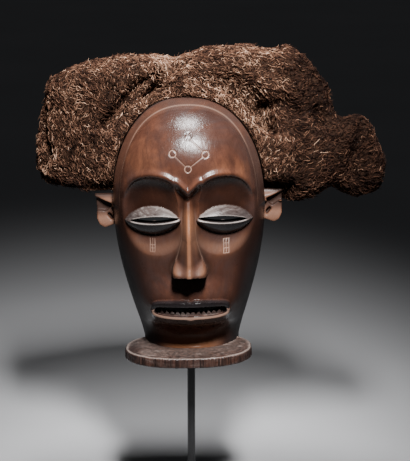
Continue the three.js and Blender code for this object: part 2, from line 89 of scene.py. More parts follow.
SLIT_X, SLIT_Z, SLIT_HALF, SLIT_HIGH, SLIT_SAG, SLIT_TILT = 30, 131.4, 22, 3.1, 2.4, 0.09
# The slots' rings: how far behind the surface, and how much wider than the slit.
SLOT_RISE, SLOT_RINGS = -0.08, [(45, 0.4), (0.8, 0.4), (-1, 0), (-30, 0)]

# Nose and mouth.
NOSE_RIDGE = [(84, 24.5), (97, 21.5), (115, 15), (136, 7.5), (150, 2), (156, 0)]
NOSE_FLANK = [(84, 15.5), (90, 15), (101, 10.4), (115, 6.6), (136, 5.2), (156, 4)]
NOSE_RIDGE_HALF = 1.4
NOSE_UNDERSIDE = [(0, 85.4), (4, 85.2), (10, 84.2), (15, 83.8)]
NOSE_EDGE = (-1.6, 0.6)
WING_HEIGHT, WING_POWER, WING_FULL, WING_END = 21, 4.5, 86.5, 102
NOSE_BLEND = 4
NOSTRIL, NOSTRIL_SIZE, NOSTRIL_SWELL = (12, 89), 4.5, 1.6
MUZZLE_Z, MUZZLE_HALF, MUZZLE_HIGH, MUZZLE_HEIGHT, MUZZLE_POWER = 50, 46, 36, 6, 1.5
MOUTH_X, MOUTH_Z, MOUTH_DROP, MOUTH_HALF, MOUTH_POWER = 0.2, 51.5, 1.7, 35, 4
MOUTH_HEIGHT, MOUTH_RECESS = 8, 8
# Nested outlines of each lip, from the opening outwards: half width, height and how far forward.
UPPER_LIP = [(31.5, 4.3, 0.7), (34, 8.6, 0.8), (35.4, 10, 0)]
LOWER_LIP = [(31.5, 4.2, 0.75), (34.8, 7.3, 1), (35.3, 13, 0.7), (35.7, 16, 0)]
LIP_DIP, DIP_WIDTH = 1.2, 3
GAP_Z, GAP_HALF, GAP_HIGH = 51.8, 26, 1.5

# The border band round the forehead.
BAND_WIDTH, BAND_STEP, BAND_EDGE, BAND_FROM, BAND_FULL = 6.4, 0.9, 0.6, 126, 160
# From this share of the half width outwards the band turns to the front, above an upright wall.
WALL_FROM, WALL_TURN, WALL_BEND = 0.87, 0.036, 1.5


def level(values, low, high):
    """0 at low, 1 at high, smooth between; low is less than high."""
    t = np.clip((values - low) / (high - low), 0, 1)
    return t * t * (3 - 2 * t)


def fade(values, low, high):
    """1 at low, 0 at high, smooth between; low is less than high."""
    return 1 - level(values, low, high)


def between(values, low, full, end, gone):
    """1 from full to end, and 0 below low and above gone."""
    return level(values, low, full) * fade(values, end, gone)


def smooth_curve(points, at):
    """A smooth curve through (position, value) pairs, level beyond its ends."""
    place, value = np.array(points, float).T
    count = len(place)
    below = np.maximum(np.arange(count) - 1, 0)
    above = np.minimum(np.arange(count) + 1, count - 1)
    slope = (value[above] - value[below]) / (place[above] - place[below])
    at = np.clip(at, place[0], place[-1])
    i = np.clip(np.searchsorted(place, at, side="right") - 1, 0, count - 2)
    span = place[i + 1] - place[i]
    t = (at - place[i]) / span
    start = (1 + 2 * t) * (1 - t) ** 2
    lean = t * (1 - t) ** 2 * slope[i] - t * t * (1 - t) * slope[i + 1]
    return start * value[i] + t * t * (3 - 2 * t) * value[i + 1] + span * lean


def straight_lines(points, at):
    place, value = np.array(points, float).T
    return np.interp(at, place, value)


def round_off(share, power):
    return (1 - np.clip(share, 0, 1) ** power) ** (1 / power)


def radius_in(x, z, half, high, power=2):
    return (np.abs(x / half) ** power + np.abs(z / high) ** power) ** (1 / power)


def bell(distance, width):
    return np.exp(-((distance / width) ** 2))


def line(distance, at, width):
    """A bell of that width across a line."""
    return bell(distance - at, width)


def spot(x, z, middle_x, middle_z, size):
    """A round bell of that size about a place."""
    return bell(np.hypot(x - middle_x, z - middle_z), size)


def xyz(x, y, z):
    return np.stack(np.broadcast_arrays(x, y, z), axis=-1)


def weighted(marks, shares):
    """The sum of some of the marks, each times its share."""
    return sum(share * marks[key] for key, share in shares.items())


def masks_from(marks, table):
    return {key: np.clip(weighted(marks, shares), 0, 1) for key, shares in table.items()}


def half_width(z):
    arch = WIDEST_HALF * round_off((z - WIDEST_AT) / (MASK_TOP - WIDEST_AT), ARCH_POWER)
    share = np.clip((z - COLLAR_THICK) / (WIDEST_AT - COLLAR_THICK), 0, 1)
    jaw = JAW_HALF + (WIDEST_HALF - JAW_HALF) * np.sin(share * np.pi / 2) ** JAW_SWELL
    return np.where(z >= WIDEST_AT, arch, jaw)


def section_depth(points, top, z):
    closing = round_off((z - CLOSING_FROM) / (top - CLOSING_FROM), CLOSING_POWER)
    return (smooth_curve(points, z) + REAR_EDGE) * closing


def inside_outline(x, z):
    """Roughly how far a point lies inside the mask's outline."""
    high = MASK_TOP - WIDEST_AT
    across, up = np.abs(x) / WIDEST_HALF, np.maximum(z - WIDEST_AT, 0) / high
    r = np.maximum(radius_in(across, up, 1, 1, ARCH_POWER), 0.05)
    power = ARCH_POWER - 1
    slope = np.hypot((across / r) ** power / WIDEST_HALF, (up / r) ** power / high)
    below = half_width(np.minimum(z, WIDEST_AT)) - np.abs(x)
    return np.where(z > WIDEST_AT, (1 - r) / np.maximum(slope, 1e-4), below)


def in_band(x, z):
    """1 in the border band round the forehead, 0 outside it."""
    across = fade(inside_outline(x, z), BAND_WIDTH - BAND_EDGE, BAND_WIDTH + BAND_EDGE)
    return across * level(z, BAND_FROM, BAND_FULL)


def socket_radius(x, z):
    return radius_in(x - SOCKET_X, z - SOCKET_Z, SOCKET_HALF, SOCKET_HIGH, SOCKET_POWER)


def sockets(x, z):
    """The bowls round the eyes, the saddle between them and the brow's crest above."""
    r = socket_radius(x, z)
    steep = level(z, *SOCKET_STEEPENS)
    inside = np.clip(1 - np.minimum(r, 1) ** (SOCKET_WALL + SOCKET_WALL_STEEPER * steep), 0, 1)
    bowl = SOCKET_DEPTH * inside ** (SOCKET_FLOOR - SOCKET_FLOOR_FLATTER * steep)
    top = SADDLE_TOP + V_SLOPE * x - V_BEND * np.maximum(x - V_BEND_AT, 0) ** 2
    full = np.maximum(0, 1 - (x / SADDLE_HALF) ** 4) * level(z, SADDLE_BOTTOM, SADDLE_FULL)
    saddle = SADDLE_DEPTH * full * level(top - z, *SADDLE_WALL)
    beyond = np.minimum((r - 1) * SOCKET_HALF, (z - top) * V_SQUARE)
    crest = line(beyond, *BROW_CREST) * level(z, *BROW_RISES)
    return BROW_HEIGHT * crest - np.maximum(bowl, saddle), beyond


def eye(x, z):
    """The lens of the closed lids, how high a point lies in it and how high it reaches there."""
    along = (x - EYE_X) / EYE_HALF
    full = np.maximum(0, 1 - along * along)
    above = z - EYE_Z + EYE_TILT * (x - EYE_X)
    reach = np.maximum(EYE_HIGH * full ** EYE_TAPER, 1e-6)
    out = np.clip(1 - (np.abs(above) / reach) ** EYE_ARCH, 0, 1)
    lens = EYE_HEIGHT * full ** EYE_ALONG * out ** EYE_ACROSS
    return np.where(reach > 0.01, lens, 0), above, reach


def nose(x, z):
    ridge = straight_lines(NOSE_RIDGE, z)
    flank = straight_lines(NOSE_FLANK, z)
    bridge = ridge * np.clip((flank - x) / (flank - NOSE_RIDGE_HALF), 0, 1)
    wing = WING_HEIGHT * fade(z, WING_FULL, WING_END) * round_off(x / flank, WING_POWER)
    blended = (bridge ** NOSE_BLEND + wing ** NOSE_BLEND) ** (1 / NOSE_BLEND)
    nostril = NOSTRIL_SWELL * spot(x, z, *NOSTRIL, NOSTRIL_SIZE) * (x < flank)
    return (blended + nostril) * level(z - straight_lines(NOSE_UNDERSIDE, x), *NOSE_EDGE)


def lip(x, above, outlines, dip):
    """How far forward a lip stands, and where a point lies in it: 0 in the opening, 1 outside it."""
    radii = [
        radius_in(x, above, half, high - (dip if i else 0), MOUTH_POWER)
        for i, (half, high, _) in enumerate(outlines)
    ]
    out = np.where(radii[0] < 1, outlines[0][2], 0.0)
    within = np.where(radii[0] < 1, 0.0, 1.0)
    for i in range(len(outlines) - 1):
        share = (radii[i] - 1) / (radii[i] - radii[i + 1])
        here = (radii[i] >= 1) & (radii[i + 1] < 1)
        out = np.where(here, outlines[i][2] + (outlines[i + 1][2] - outlines[i][2]) * share, out)
        within = np.where(here, (i + share) / (len(outlines) - 1), within)
    return out, within, radii[0] < 1


def mouth(x, z):
    bulge = radius_in(x, z - MUZZLE_Z, MUZZLE_HALF, MUZZLE_HIGH)
    muzzle = MUZZLE_HEIGHT * np.clip(1 - bulge * bulge, 0, 1) ** MUZZLE_POWER
    above = z - MOUTH_Z + MOUTH_DROP * (x / MOUTH_HALF) ** 2
    dip = LIP_DIP * bell(x, DIP_WIDTH)
    upper, lower = lip(x, above, UPPER_LIP, dip), lip(x, above, LOWER_LIP, -dip)
    out, within, opened = (np.where(above > 0, a, b) for a, b in zip(upper, lower))
    return muzzle + MOUTH_HEIGHT * out - np.where(opened, MOUTH_RECESS, 0), opened, within, above


# Engraved marks, in the mask's frame seen from the front.
LINE_WIDTH, LINE_DEPTH = 0.34, 0.55
RING_RADIUS = 2.85
RINGS = [(0.8, 205.2), (-12.7, 191.4), (15.7, 190.2), (0.4, 178.4)]
RING_LINKS = [(1, 3), (3, 2), (0, 2)]
LOOP_FLATNESS, LOOP_LINE = 0.74, (3.15, 0.442)
LOOP_GAP, LOOP_OPENS = math.radians(-150), (0.8, 0.95)
# The marks on each cheek: their upright lines, level lines and the top of the upright ones.
CHEEK_MARKS = [
    ((30.3, 32.6, 34.9), (100.6, 104.6, 108.6, 112.6), 112.6),
    ((-34.3, -32.2, -30.1), (102.6, 105.6, 108.4), 113.6),
]
RIM_LINE, RIM_FULL = [(150, 7.2), (185, 6.6), (215, 4.4), (231, 3.4)], 146
LINK_SHARE, LEFT_SHARE, RIGHT_SHARE, RIM_SHARE = 0.6, 0.5, 0.7, 0.26


def to_segment(x, z, start, end):
    """Distance from points to a straight line between two points."""
    run = np.subtract(end, start)
    t = np.clip(((x - start[0]) * run[0] + (z - start[1]) * run[1]) / (run @ run), 0, 1)
    return np.hypot(x - start[0] - t * run[0], z - start[1] - t * run[1])


def ring_links():
    """End points of the lines between the rings."""
    for a, b in RING_LINKS:
        start, end = np.array(RINGS[a], float), np.array(RINGS[b], float)
        way = (end - start) / np.linalg.norm(end - start)
        yield start + way * RING_RADIUS, end - way * RING_RADIUS


def cheek_lines():
    """End points of the lines on the cheeks."""
    for columns, levels, top in CHEEK_MARKS:
        yield from (((x, levels[0]), (x, top)) for x in columns)
        yield from (((columns[0], z), (columns[-1], z)) for z in levels)


def faint_loop(x, z):
    """The flatter loop above the rings, with a gap at its lower left."""
    across, up = x - RINGS[0][0], (z - RINGS[0][1]) / LOOP_FLATNESS
    gap = np.cos(np.arctan2(up, across) - LOOP_GAP)
    return line(np.hypot(across, up), *LOOP_LINE) * fade(gap, *LOOP_OPENS)


def engraving(x, z):
    """How strongly a point is engraved, 0 to 1, by rings, links, cheek marks and the rim line."""
    rim = line(inside_outline(x, z), straight_lines(RIM_LINE, z), LINE_WIDTH)
    depth = RIM_SHARE * rim * level(z, BAND_FROM, RIM_FULL)
    for centre in RINGS[1:]:
        depth = np.maximum(depth, line(np.hypot(x - centre[0], z - centre[1]), RING_RADIUS, LINE_WIDTH))
    for start, end in ring_links():
        depth = np.maximum(depth, LINK_SHARE * bell(to_segment(x, z, start, end), LINE_WIDTH))
    on_cheek = np.where(x < 0, LEFT_SHARE, RIGHT_SHARE)
    for start, end in cheek_lines():
        depth = np.maximum(depth, on_cheek * bell(to_segment(x, z, start, end), LINE_WIDTH))
    return depth


TOOTH_WIDTH, TOOTH_LOW, TOOTH_HIGH, TOOTH_POINT = 4.6, 4.6, 1.7, 0.8
TOOTH_UNEVEN, TOOTH_WAVE, TOOTH_START = 0.18, 1.7, 0.6
TOOTH_LIFT, TOOTH_EDGE, TOOTHLESS = 0.3, (-0.35, 0.35), 2.5


def teeth(x, above, opened):
    """Small pointed teeth, cut along both edges of the open mouth."""
    half, top, _ = UPPER_LIP[0]
    bow = round_off(np.abs(x) / half, MOUTH_POWER)
    point = np.abs((x / TOOTH_WIDTH) % 1 - 0.5) * 2
    uneven = 1 + TOOTH_UNEVEN * np.sin(TOOTH_WAVE * x + TOOTH_START)
    low = TOOTH_LOW * uneven * (1 - point) ** TOOTH_POINT - LOWER_LIP[0][1] * bow + TOOTH_LIFT
    high = top * bow - TOOTH_HIGH * (1 - point)
    cut = np.maximum(level(low - above, *TOOTH_EDGE), level(above - high, *TOOTH_EDGE))
    return np.where(opened & (np.abs(x) < half - TOOTHLESS), cut, 0)


LEDGE = (0.08, 0.15, 0.28, 0.36)
LIP_SKIN = (0, 0.03, 0.9, 1)
LIP_TOP = (0.9, 0.1)
LOWER_LIP_SHADE, UPPER_LIP_SHINE = 0.85, 0.35


def mouth_marks(x, z):
    """The relief of the mouth, its teeth, the gap between them blackened as painted shade, the lips, and the
    lower lip's ledge painted pale as a highlight.
    """
    lips, opened, within, above = mouth(np.abs(x), z)
    tooth = teeth(x, above, opened)
    # Painted highlight along the top of the lower lip's ledge.
    ledge = between(within, *LEDGE) * (above < 0.5)
    lip_top = line(within, *LIP_TOP) * (above > 0)
    shade = np.where(above < 0, LOWER_LIP_SHADE, 1 - UPPER_LIP_SHINE * lip_top)
    darkened = between(within, *LIP_SKIN) * (1 - ledge) * shade
    return lips, {
        # The gap between the teeth is painted shade.
        "tooth": tooth, "gap": opened * (1 - tooth), "ledge": ledge, "lip_top": lip_top, "lips": darkened,
    }


LIDS_FROM, BELOW_SLIT, SLIT_ENDS = (0.2, 0.6), (-1.8, -1.3), -0.3
LID_SHADE = (-0.5, 0.5, SLIT_HIGH + 1, SLIT_HIGH + 6)
GLEAM_RISES, GLEAM_ENDS = (0, 1), (SLIT_X - 12, SLIT_X + 8)
# Thin lines: where they lie and their width, and where they fade.
LOWER_RIM, LOWER_RIM_ENDS = (-0.95, 0.65), (SLIT_HALF - 3, SLIT_HALF + 1.5)
UPPER_RIM, UPPER_RIM_ENDS = (0.6, 0.5), (SLIT_HALF - 4, SLIT_HALF)
LID_EDGE, LID_EDGE_REACH = (0.8, 0.6), 2


def lid_marks(side, z):
    """The lens of the lids, the rims of the sagging slit in it, the lids' painted shade on the lower lids and
    just above the slit, the grey of the upper lids, and painted highlights: a gleam, the slit's lower rim and
    the lids' upper edge.
    """
    lens, above, reach = eye(side, z)
    off = np.abs(side - SLIT_X)
    bow = 1 - (off / SLIT_HALF) ** 2
    up = z - SLIT_Z + SLIT_TILT * (side - SLIT_X) + SLIT_SAG * np.clip(bow, SLIT_ENDS, 1)
    over = up - (SLIT_HIGH + SLIT_SAG) * np.clip(bow, 0, 1)
    lids = level(lens, *LIDS_FROM)
    # Painted shade: the lower lids, below the slit, are blackened.
    below = fade(up, *BELOW_SLIT) * lids
    edge = line(reach - np.abs(above), *LID_EDGE)
    return lens, {
        "lids": lids,
        "below": below,
        # The upper lids are greyed, and their silver streaks are a painted reflection of the light above.
        "upper_lid": lids * (1 - below),
        "shaded": between(up, *LID_SHADE) * lids,
        "gleam": lids * level(over, *GLEAM_RISES) * fade(side, *GLEAM_ENDS),
        # The slit's lower rim is painted pale as a highlight.
        "lower_rim": line(up, *LOWER_RIM) * fade(off, *LOWER_RIM_ENDS),
        "upper_rim": line(over, *UPPER_RIM) * fade(off, *UPPER_RIM_ENDS),
        # The lids' upper edge is painted pale as a highlight.
        "lid_edge": edge * (reach > LID_EDGE_REACH) * (above > 0),
    }


# Where the dark staining wears thin, and how much, with a patch of painted light on the chin's flare.
WEAR_AND_LIGHT = {"ridge": 0.8, "flank": 0.6, "socket": 0.4, "chin": 0.8, "nostril": 0.6}
WORN_RIDGE, WORN_RIDGE_HALF = (84, 88, 135, 150), 3
WORN_FLANK, WORN_FLANK_LINE = (92, 112, 134, 146), (-1, 3.5)
WORN_SOCKET, WORN_SOCKET_LINE = (108, 122), (0.86, 0.16)
CHIN_LIGHT, CHIN_LIGHT_HALF = (12, 22), (14, 34)
WORN_NOSTRIL = 5.5


def past_flank(side, z):
    return side - straight_lines(NOSE_FLANK, z)


def worn_and_lit_wood(side, z):
    """How much wear the wood shows on the nose and in the lower sockets, and painted light on the chin's
    flare.
    """
    worn_and_lit = {
        "ridge": bell(side, WORN_RIDGE_HALF) * between(z, *WORN_RIDGE),
        "flank": line(past_flank(side, z), *WORN_FLANK_LINE) * between(z, *WORN_FLANK),
        "socket": line(socket_radius(side, z), *WORN_SOCKET_LINE) * fade(z, *WORN_SOCKET),
        # Painted light: the chin's flare above the collar is made lighter.
        "chin": fade(z, *CHIN_LIGHT) * fade(side, *CHIN_LIGHT_HALF),
        "nostril": spot(side, z, *NOSTRIL, WORN_NOSTRIL),
    }
    return np.clip(weighted(worn_and_lit, WEAR_AND_LIGHT), 0, 1)


HATCHES = 60
BROW_LINE, BROW_LINE_RISES = (-1.5, 1.5), (146, 158)
BROW_STAIN, BROW_HATCH = 0.3, 0.4
# Painted shade: the sides of the jaw are darkened where they turn from the light.
JAW_SHARE, JAW_FADES = (0.6, 0.95), (70, 135)
# Painted shade: the sides of the face below the eyes, outside the sockets, are darkened where they turn from
# the light.
SIDE_SHADE_SHARE, SIDE_SHADE_FADES, SIDE_SHADE_RADIUS = (0.5, 0.85), (110, 150), (0.75, 1.05)
# Painted shade in the top of each socket, just under the brow's crest.
UNDER_BROW, UNDER_BROW_RISES = (-5, -1), (134, 150)
# Painted highlight: a thin line along the foot of each side of the nose, raised a little and painted pale and
# lighter.
FLANK_RISES, FLANK_LINE = (92, 98, 124, 134), (-0.2, 0.6)


def wood_marks(x, z, beyond):
    """Engraved lines, the hatched brows, the nose's edges with a painted highlight, wear with painted light
    on the chin, and painted shade on the sides of the face and jaw and under the brows.
    """
    side = np.abs(x)
    hatch = 0.5 + 0.5 * np.sin(HATCHES * np.arctan2(z - SOCKET_Z, side - SOCKET_X))
    brow = line(beyond, *BROW_LINE) * level(z, *BROW_LINE_RISES)
    share = side / np.maximum(half_width(z), 1)
    # Painted shade on the sides of the face.
    darker_wood = level(share, *SIDE_SHADE_SHARE) * fade(z, *SIDE_SHADE_FADES)
    return {
        "cut": engraving(x, z),
        "loop": faint_loop(x, z),
        "band": in_band(x, z),
        "brow": brow * (BROW_STAIN + BROW_HATCH * hatch),
        "hatch": brow * hatch,
        # Painted shade on the sides of the jaw and face and under the brow's crest.
        "jaw": level(share, *JAW_SHARE) * fade(z, *JAW_FADES),
        "darkened": darker_wood * level(socket_radius(side, z), *SIDE_SHADE_RADIUS),
        "shade_under_brow": fade(beyond, *UNDER_BROW) * level(z, *UNDER_BROW_RISES),
        # Painted highlight along the foot of each side of the nose.
        "flank": line(past_flank(side, z), *FLANK_LINE) * between(z, *FLANK_RISES),
        "rubbed_and_lit": worn_and_lit_wood(side, z),
    }


# How far each mark is raised, in millimetres, and how much of it goes into each mask.
RAISED = {"tooth": 5, "lower_rim": 0.6, "lid_edge": 0.15, "flank": 0.35, "lip_top": 0.3, "hatch": -0.35}
MASKS = {
    # Pale: chalk in the engraved lines, and painted highlights on the lids, the nose's flank lines and the
    # lower lip's ledge.
    "pale": {
        "cut": 0.9, "band": 0.12, "gleam": 0.22, "lower_rim": 0.9, "upper_rim": 0.35,
        "lid_edge": 0.15, "flank": 0.2, "ledge": 0.5,
    },
    # Dark: the black of the lips and hatched brows, and painted shade in the open mouth, on the lower lids,
    # just above the slits and on the jaw's sides.
    "dark": {"brow": 1, "gap": 0.9, "below": 1, "shaded": 0.4, "lips": 1, "jaw": 0.9},
    # Grey: the teeth, and the upper lids with their painted reflection.
    "grey": {"tooth": 0.6, "upper_lid": 0.85},
    # Wear, with painted light on the chin's flare and the nose's flank lines.
    "worn_and_lit": {"rubbed_and_lit": 1, "flank": 0.6},
    # Sunk: painted shade on the sides of the face and under the brows, and the faint loop's darker line.
    "sunk": {"darkened": 0.6, "shade_under_brow": 0.4, "loop": 0.7},
    "plain": {"jaw": 0.72},
}


def carve(x, z):
    """The relief at a point seen from the front, forward of the plain section, and its masks."""
    side = np.abs(x)
    sunk, beyond = sockets(side, z)
    lens, on_lids = lid_marks(side, z)
    lips, on_mouth = mouth_marks(x - MOUTH_X, z)
    marks = {**on_lids, **on_mouth, **wood_marks(x, z, beyond)}
    marks["shade_under_brow"] = marks["shade_under_brow"] * (1 - marks["lids"])
    lines = LINE_DEPTH * np.maximum(marks["cut"], marks["loop"])
    relief = sunk + lens + nose(side, z) + lips + weighted(marks, RAISED) - lines
    return relief, masks_from(marks, MASKS)


LEAST_RADIUS = 8
RIM_HELD = 0.06


def face_point(z, share):
    """Points of the carved surface, from their heights and shares of the half width."""
    x = half_width(z) * share
    out = np.maximum((np.abs(share) - WALL_FROM) / (1 - WALL_FROM), 0)
    turned = np.abs(share) - WALL_TURN * level(z, BAND_FROM, BAND_FULL) * out ** WALL_BEND
    forward = section_depth(FRONT_PROFILE, MASK_TOP, z) * round_off(turned, SECTION_POWER)
    shrink = 1 - BAND_STEP * in_band(x, z) / np.maximum(np.hypot(x, forward), LEAST_RADIUS)
    relief, masks = carve(x, z)
    relief = relief * level(1 - np.abs(share), 0, RIM_HELD)
    return xyz(x * shrink, REAR_EDGE - forward * shrink - relief, z), masks


def rolled(x, z, angle):
    c, s = math.cos(angle), math.sin(angle)
    return x * c + z * s, z * c - x * s


def placed(points):
    """From the mask's frame in millimetres to the row frame in metres."""
    x, y, z = np.moveaxis(np.asarray(points, float), -1, 0)
    x, z = rolled(x, z, MASK_ROLL)
    return (xyz(x, y, z) + MASK_AT) * MM


def lifted(points):
    """From the row frame in metres to the mask's frame in millimetres."""
    x, y, z = np.moveaxis(np.asarray(points, float) / MM - MASK_AT, -1, 0)
    x, z = rolled(x, z, -MASK_ROLL)
    return xyz(x, y, z)


def make_mesh(name, points, faces):
    """A mesh object from arrays of points, in metres, and of faces with equally many corners."""
    points = np.asarray(points, np.float32).reshape(-1, 3)
    faces = np.asarray(faces, np.int32)
    corners = faces.shape[1]
    mesh = bpy.data.meshes.new(name)
    mesh.vertices.add(len(points))
    mesh.vertices.foreach_set("co", points.ravel())
    mesh.loops.add(faces.size)
    mesh.loops.foreach_set("vertex_index", faces.ravel())
    mesh.polygons.add(len(faces))
    mesh.polygons.foreach_set("loop_start", np.arange(0, faces.size, corners, dtype=np.int32))
    mesh.update(calc_edges=True)
    mesh.validate()
    piece = bpy.data.objects.new(name, mesh)
    bpy.context.scene.collection.objects.link(piece)
    return piece


def set_masks(piece, masks):
    """Stores values for every point of a piece, which its material reads."""
    for key, values in masks.items():
        mask = piece.data.attributes.new(key, "FLOAT", "POINT")
        mask.data.foreach_set("value", np.asarray(values, np.float32).ravel())


def values_of(items, name, size, kind=np.float32):
    """What every item of a mesh holds under a name, as rows of an array."""
    flat = np.empty(len(items) * size, kind)
    items.foreach_get(name, flat)
    return flat.reshape(-1, size)


def vertices_of(piece):
    return values_of(piece.data.vertices, "co", 3).astype(float)


def normals_of(piece):
    return values_of(piece.data.vertex_normals, "vector", 3).astype(float)


def edges_of(piece):
    return values_of(piece.data.edges, "vertices", 2, np.int32)


def stacked_rings(name, rings, base=None, apex=None):
    """A closed body round a stack of rings; its ends meet in two points or its first rings' middles."""
    rings = np.stack(rings)
    rows, size = rings.shape[:2]
    row = size * np.arange(rows - 1)[:, None]
    i = np.arange(size)
    j = (i + 1) % size
    last = (rows - 1) * size
    sides = [xyz(row + i, row + j, row + size + j), xyz(row + i, row + size + j, row + size + i)]
    ends = [xyz(j, i, rows * size), xyz(last + i, last + j, rows * size + 1)]
    faces = np.concatenate([part.reshape(-1, 3) for part in sides + ends])
    tips = rings[:2].mean(axis=1) if base is None else [base, apex]
    return make_mesh(name, placed(np.concatenate([rings.reshape(-1, 3), tips])), faces)


def applied(piece, kind, **settings):
    """Adds a modifier and makes its result the piece's own mesh."""
    modifier = piece.modifiers.new(kind.lower(), kind)
    for key, value in settings.items():
        setattr(modifier, key, value)
    graph = bpy.context.evaluated_depsgraph_get()
    mesh = bpy.data.meshes.new_from_object(piece.evaluated_get(graph), depsgraph=graph)
    piece.modifiers.clear()
    old, piece.data = piece.data, mesh
    bpy.data.meshes.remove(old)
    return piece


def joined(piece, operation, *others):
    for other in others:
        applied(piece, "BOOLEAN", operation=operation, object=other, solver="MANIFOLD")
        bpy.data.objects.remove(other)
    return piece


def smooth_shaded(piece, angle=None):
    piece.data.shade_smooth()
    if angle:
        piece.data.set_sharp_from_angle(angle=math.radians(angle))
    return piece


def relaxed(points, edges, steps, share=0.5):
    """Points drawn towards the mean of their neighbours."""
    count = len(points)
    degree = np.bincount(edges.ravel(), minlength=count).astype(float)[:, None]
    for _ in range(steps):
        total = np.zeros_like(points)
        for axis in range(points.shape[1]):
            total[:, axis] = np.bincount(edges[:, 0], points[edges[:, 1], axis], count)
            total[:, axis] += np.bincount(edges[:, 1], points[edges[:, 0], axis], count)
        points = points + share * (total / np.maximum(degree, 1) - points)
    return points


def reshape(piece, points):
    piece.data.vertices.foreach_set("co", np.asarray(points, np.float32).ravel())
    piece.data.update()


def runs(*stretches):
    """Values along several stretches, each (from, to, step), up to the last end."""
    parts = [np.linspace(a, b, round((b - a) / step), endpoint=False) for a, b, step in stretches]
    return np.concatenate([*parts, [stretches[-1][1]]])


def closing_in(start, end, count):
    """Values that crowd together towards the end."""
    return start + (end - start) * np.sin(np.linspace(0, 1, count) * np.pi / 2)


# The face's grid: shares of the half width over the features and from there to the rim, and
# heights with their steps, finest over the mouth, nose and eyes.
FEATURE_SHARE, FEATURE_COUNT, RIM_COUNT = 0.62, 71, 36
FACE_ROWS = [(0, 34, 1), (34, 66, 0.42), (66, 82, 1), (82, 116, 0.6), (116, 176, 0.48), (176, 200, 0.7)]
CROWN_COUNT = 46
HOLLOW_ROWS, HOLLOW_CROWN, HOLLOW_ACROSS = 40, 36, 61
SLOT_POINTS = 25


def face_body():
    """The carved face as a solid, cut off flat behind."""
    rows = np.concatenate([runs(*FACE_ROWS)[:-1], closing_in(FACE_ROWS[-1][1], MASK_TOP, CROWN_COUNT)[:-1]])
    right = np.linspace(0, FEATURE_SHARE, FEATURE_COUNT, endpoint=False)
    right = np.concatenate([right, closing_in(FEATURE_SHARE, 1, RIM_COUNT)])
    z, share = np.meshgrid(rows, np.concatenate([-right[:0:-1], right]), indexing="ij")
    points, _ = face_point(z, share)
    foot = points[:, [0, -1]].copy()
    foot[..., 1] = REAR_EDGE
    points = np.concatenate([foot[:, :1], points, foot[:, 1:]], axis=1)
    return stacked_rings("mask_face", points, (0, -REAR_EDGE, 0), (0, REAR_EDGE, MASK_TOP))


def hollow_body():
    """The room for the wearer's face, as a solid to cut away."""
    low = np.linspace(HOLLOW_FOOT, WIDEST_AT, HOLLOW_ROWS)
    rows = np.concatenate([low[:-1], closing_in(WIDEST_AT, HOLLOW_TOP, HOLLOW_CROWN)[:-1]])
    z, s = np.meshgrid(rows, np.sin(np.linspace(-1, 1, HOLLOW_ACROSS) * np.pi / 2), indexing="ij")
    arch = round_off((z - WIDEST_AT) / (HOLLOW_TOP - WIDEST_AT), ARCH_POWER)
    half = (half_width(np.minimum(z, WIDEST_AT)) - SIDE_WALL) * arch
    depth = section_depth(HOLLOW_PROFILE, HOLLOW_TOP, z)
    front = xyz(half * s, REAR_EDGE - depth * round_off(np.abs(s), SECTION_POWER), z)
    back = xyz(half[:, :2] * [1, -1], REAR_EDGE + HOLLOW_PAST, z[:, :2])
    rings = np.concatenate([front, back], axis=1)
    return stacked_rings("hollow", rings, (0, 0, HOLLOW_FOOT), (0, REAR_EDGE, HOLLOW_TOP))


def slot_body(middle_x, middle_z, half, sag, high, tilt=0):
    """A slot through the wall between two bows, rising towards the back."""
    t = np.linspace(-1, 1, SLOT_POINTS)
    there = [(v, -sag * (1 - v * v)) for v in t[:-1]]
    back = [(v, high * (1 - v * v)) for v in t[::-1][:-1]]
    v, bow = np.array(there + back).T
    x, z = middle_x + half * v, middle_z + bow - tilt * half * v
    front = face_point(z, x / half_width(z))[0][:, 1]
    return stacked_rings("slot", [
        xyz(x, front + behind, z + SLOT_RISE * behind + wider * np.sign(bow)) for behind, wider in SLOT_RINGS
    ])


def plate_body(name, outline, near, far):
    """An upright plate between two depths."""
    x, z = np.array(outline, float).T
    rings = [xyz(x, y, z) for y in (far, near)]
    if np.cross(rings[0][1] - rings[0][0], rings[0][2] - rings[0][1])[1] > 0:
        rings = rings[::-1]
    return stacked_rings(name, rings)


EAR_OUTLINE = [
    (58, 143.6), (86, 143.4), (84.6, 138), (84.2, 121), (81.5, 115.5), (77, 112.8), (66, 117), (58, 120),
]
# A spike above, a lobe below, and between them a pit that opens outwards.
EAR_PIT = [(90, 141.6), (84.5, 141.2), (69.8, 135.2), (70.5, 132), (75.5, 127.9)]
EAR_LOBE_TOP = {1: 132.6, -1: 128.6}
EAR_LOBE_AT = 82.3
EAR_LIFT = {1: 2.8, -1: 0}
EAR_FOLD = [(74.8, 125), (73, 127), (69.4, 123.2), (69.4, 118.2)]
EAR_THICK, EAR_PIT_DEPTH, PIT_AHEAD = 10, 7, 2
EAR_GRAIN, EAR_ROUNDING = 0.75, 7
# The front of the spike and of the lobe leans forward.
EAR_SLOPE, EAR_FRONT = 4, (1, 4.5)
SPIKE, SPIKE_FROM, LOBE = (135.5, 143.5), (132, 134), (115, 130, 131, 133)
PIT_SHADE = (1.5, 5.5)
EAR_MASKS = {
    "pale": {"rubbed_and_lit": 0.16}, "dark": {"pit": 0.2}, "sunk": {"pit": 0.8}, "worn_and_lit": {"rubbed_and_lit": 0.5, "pit": 0.6},
}


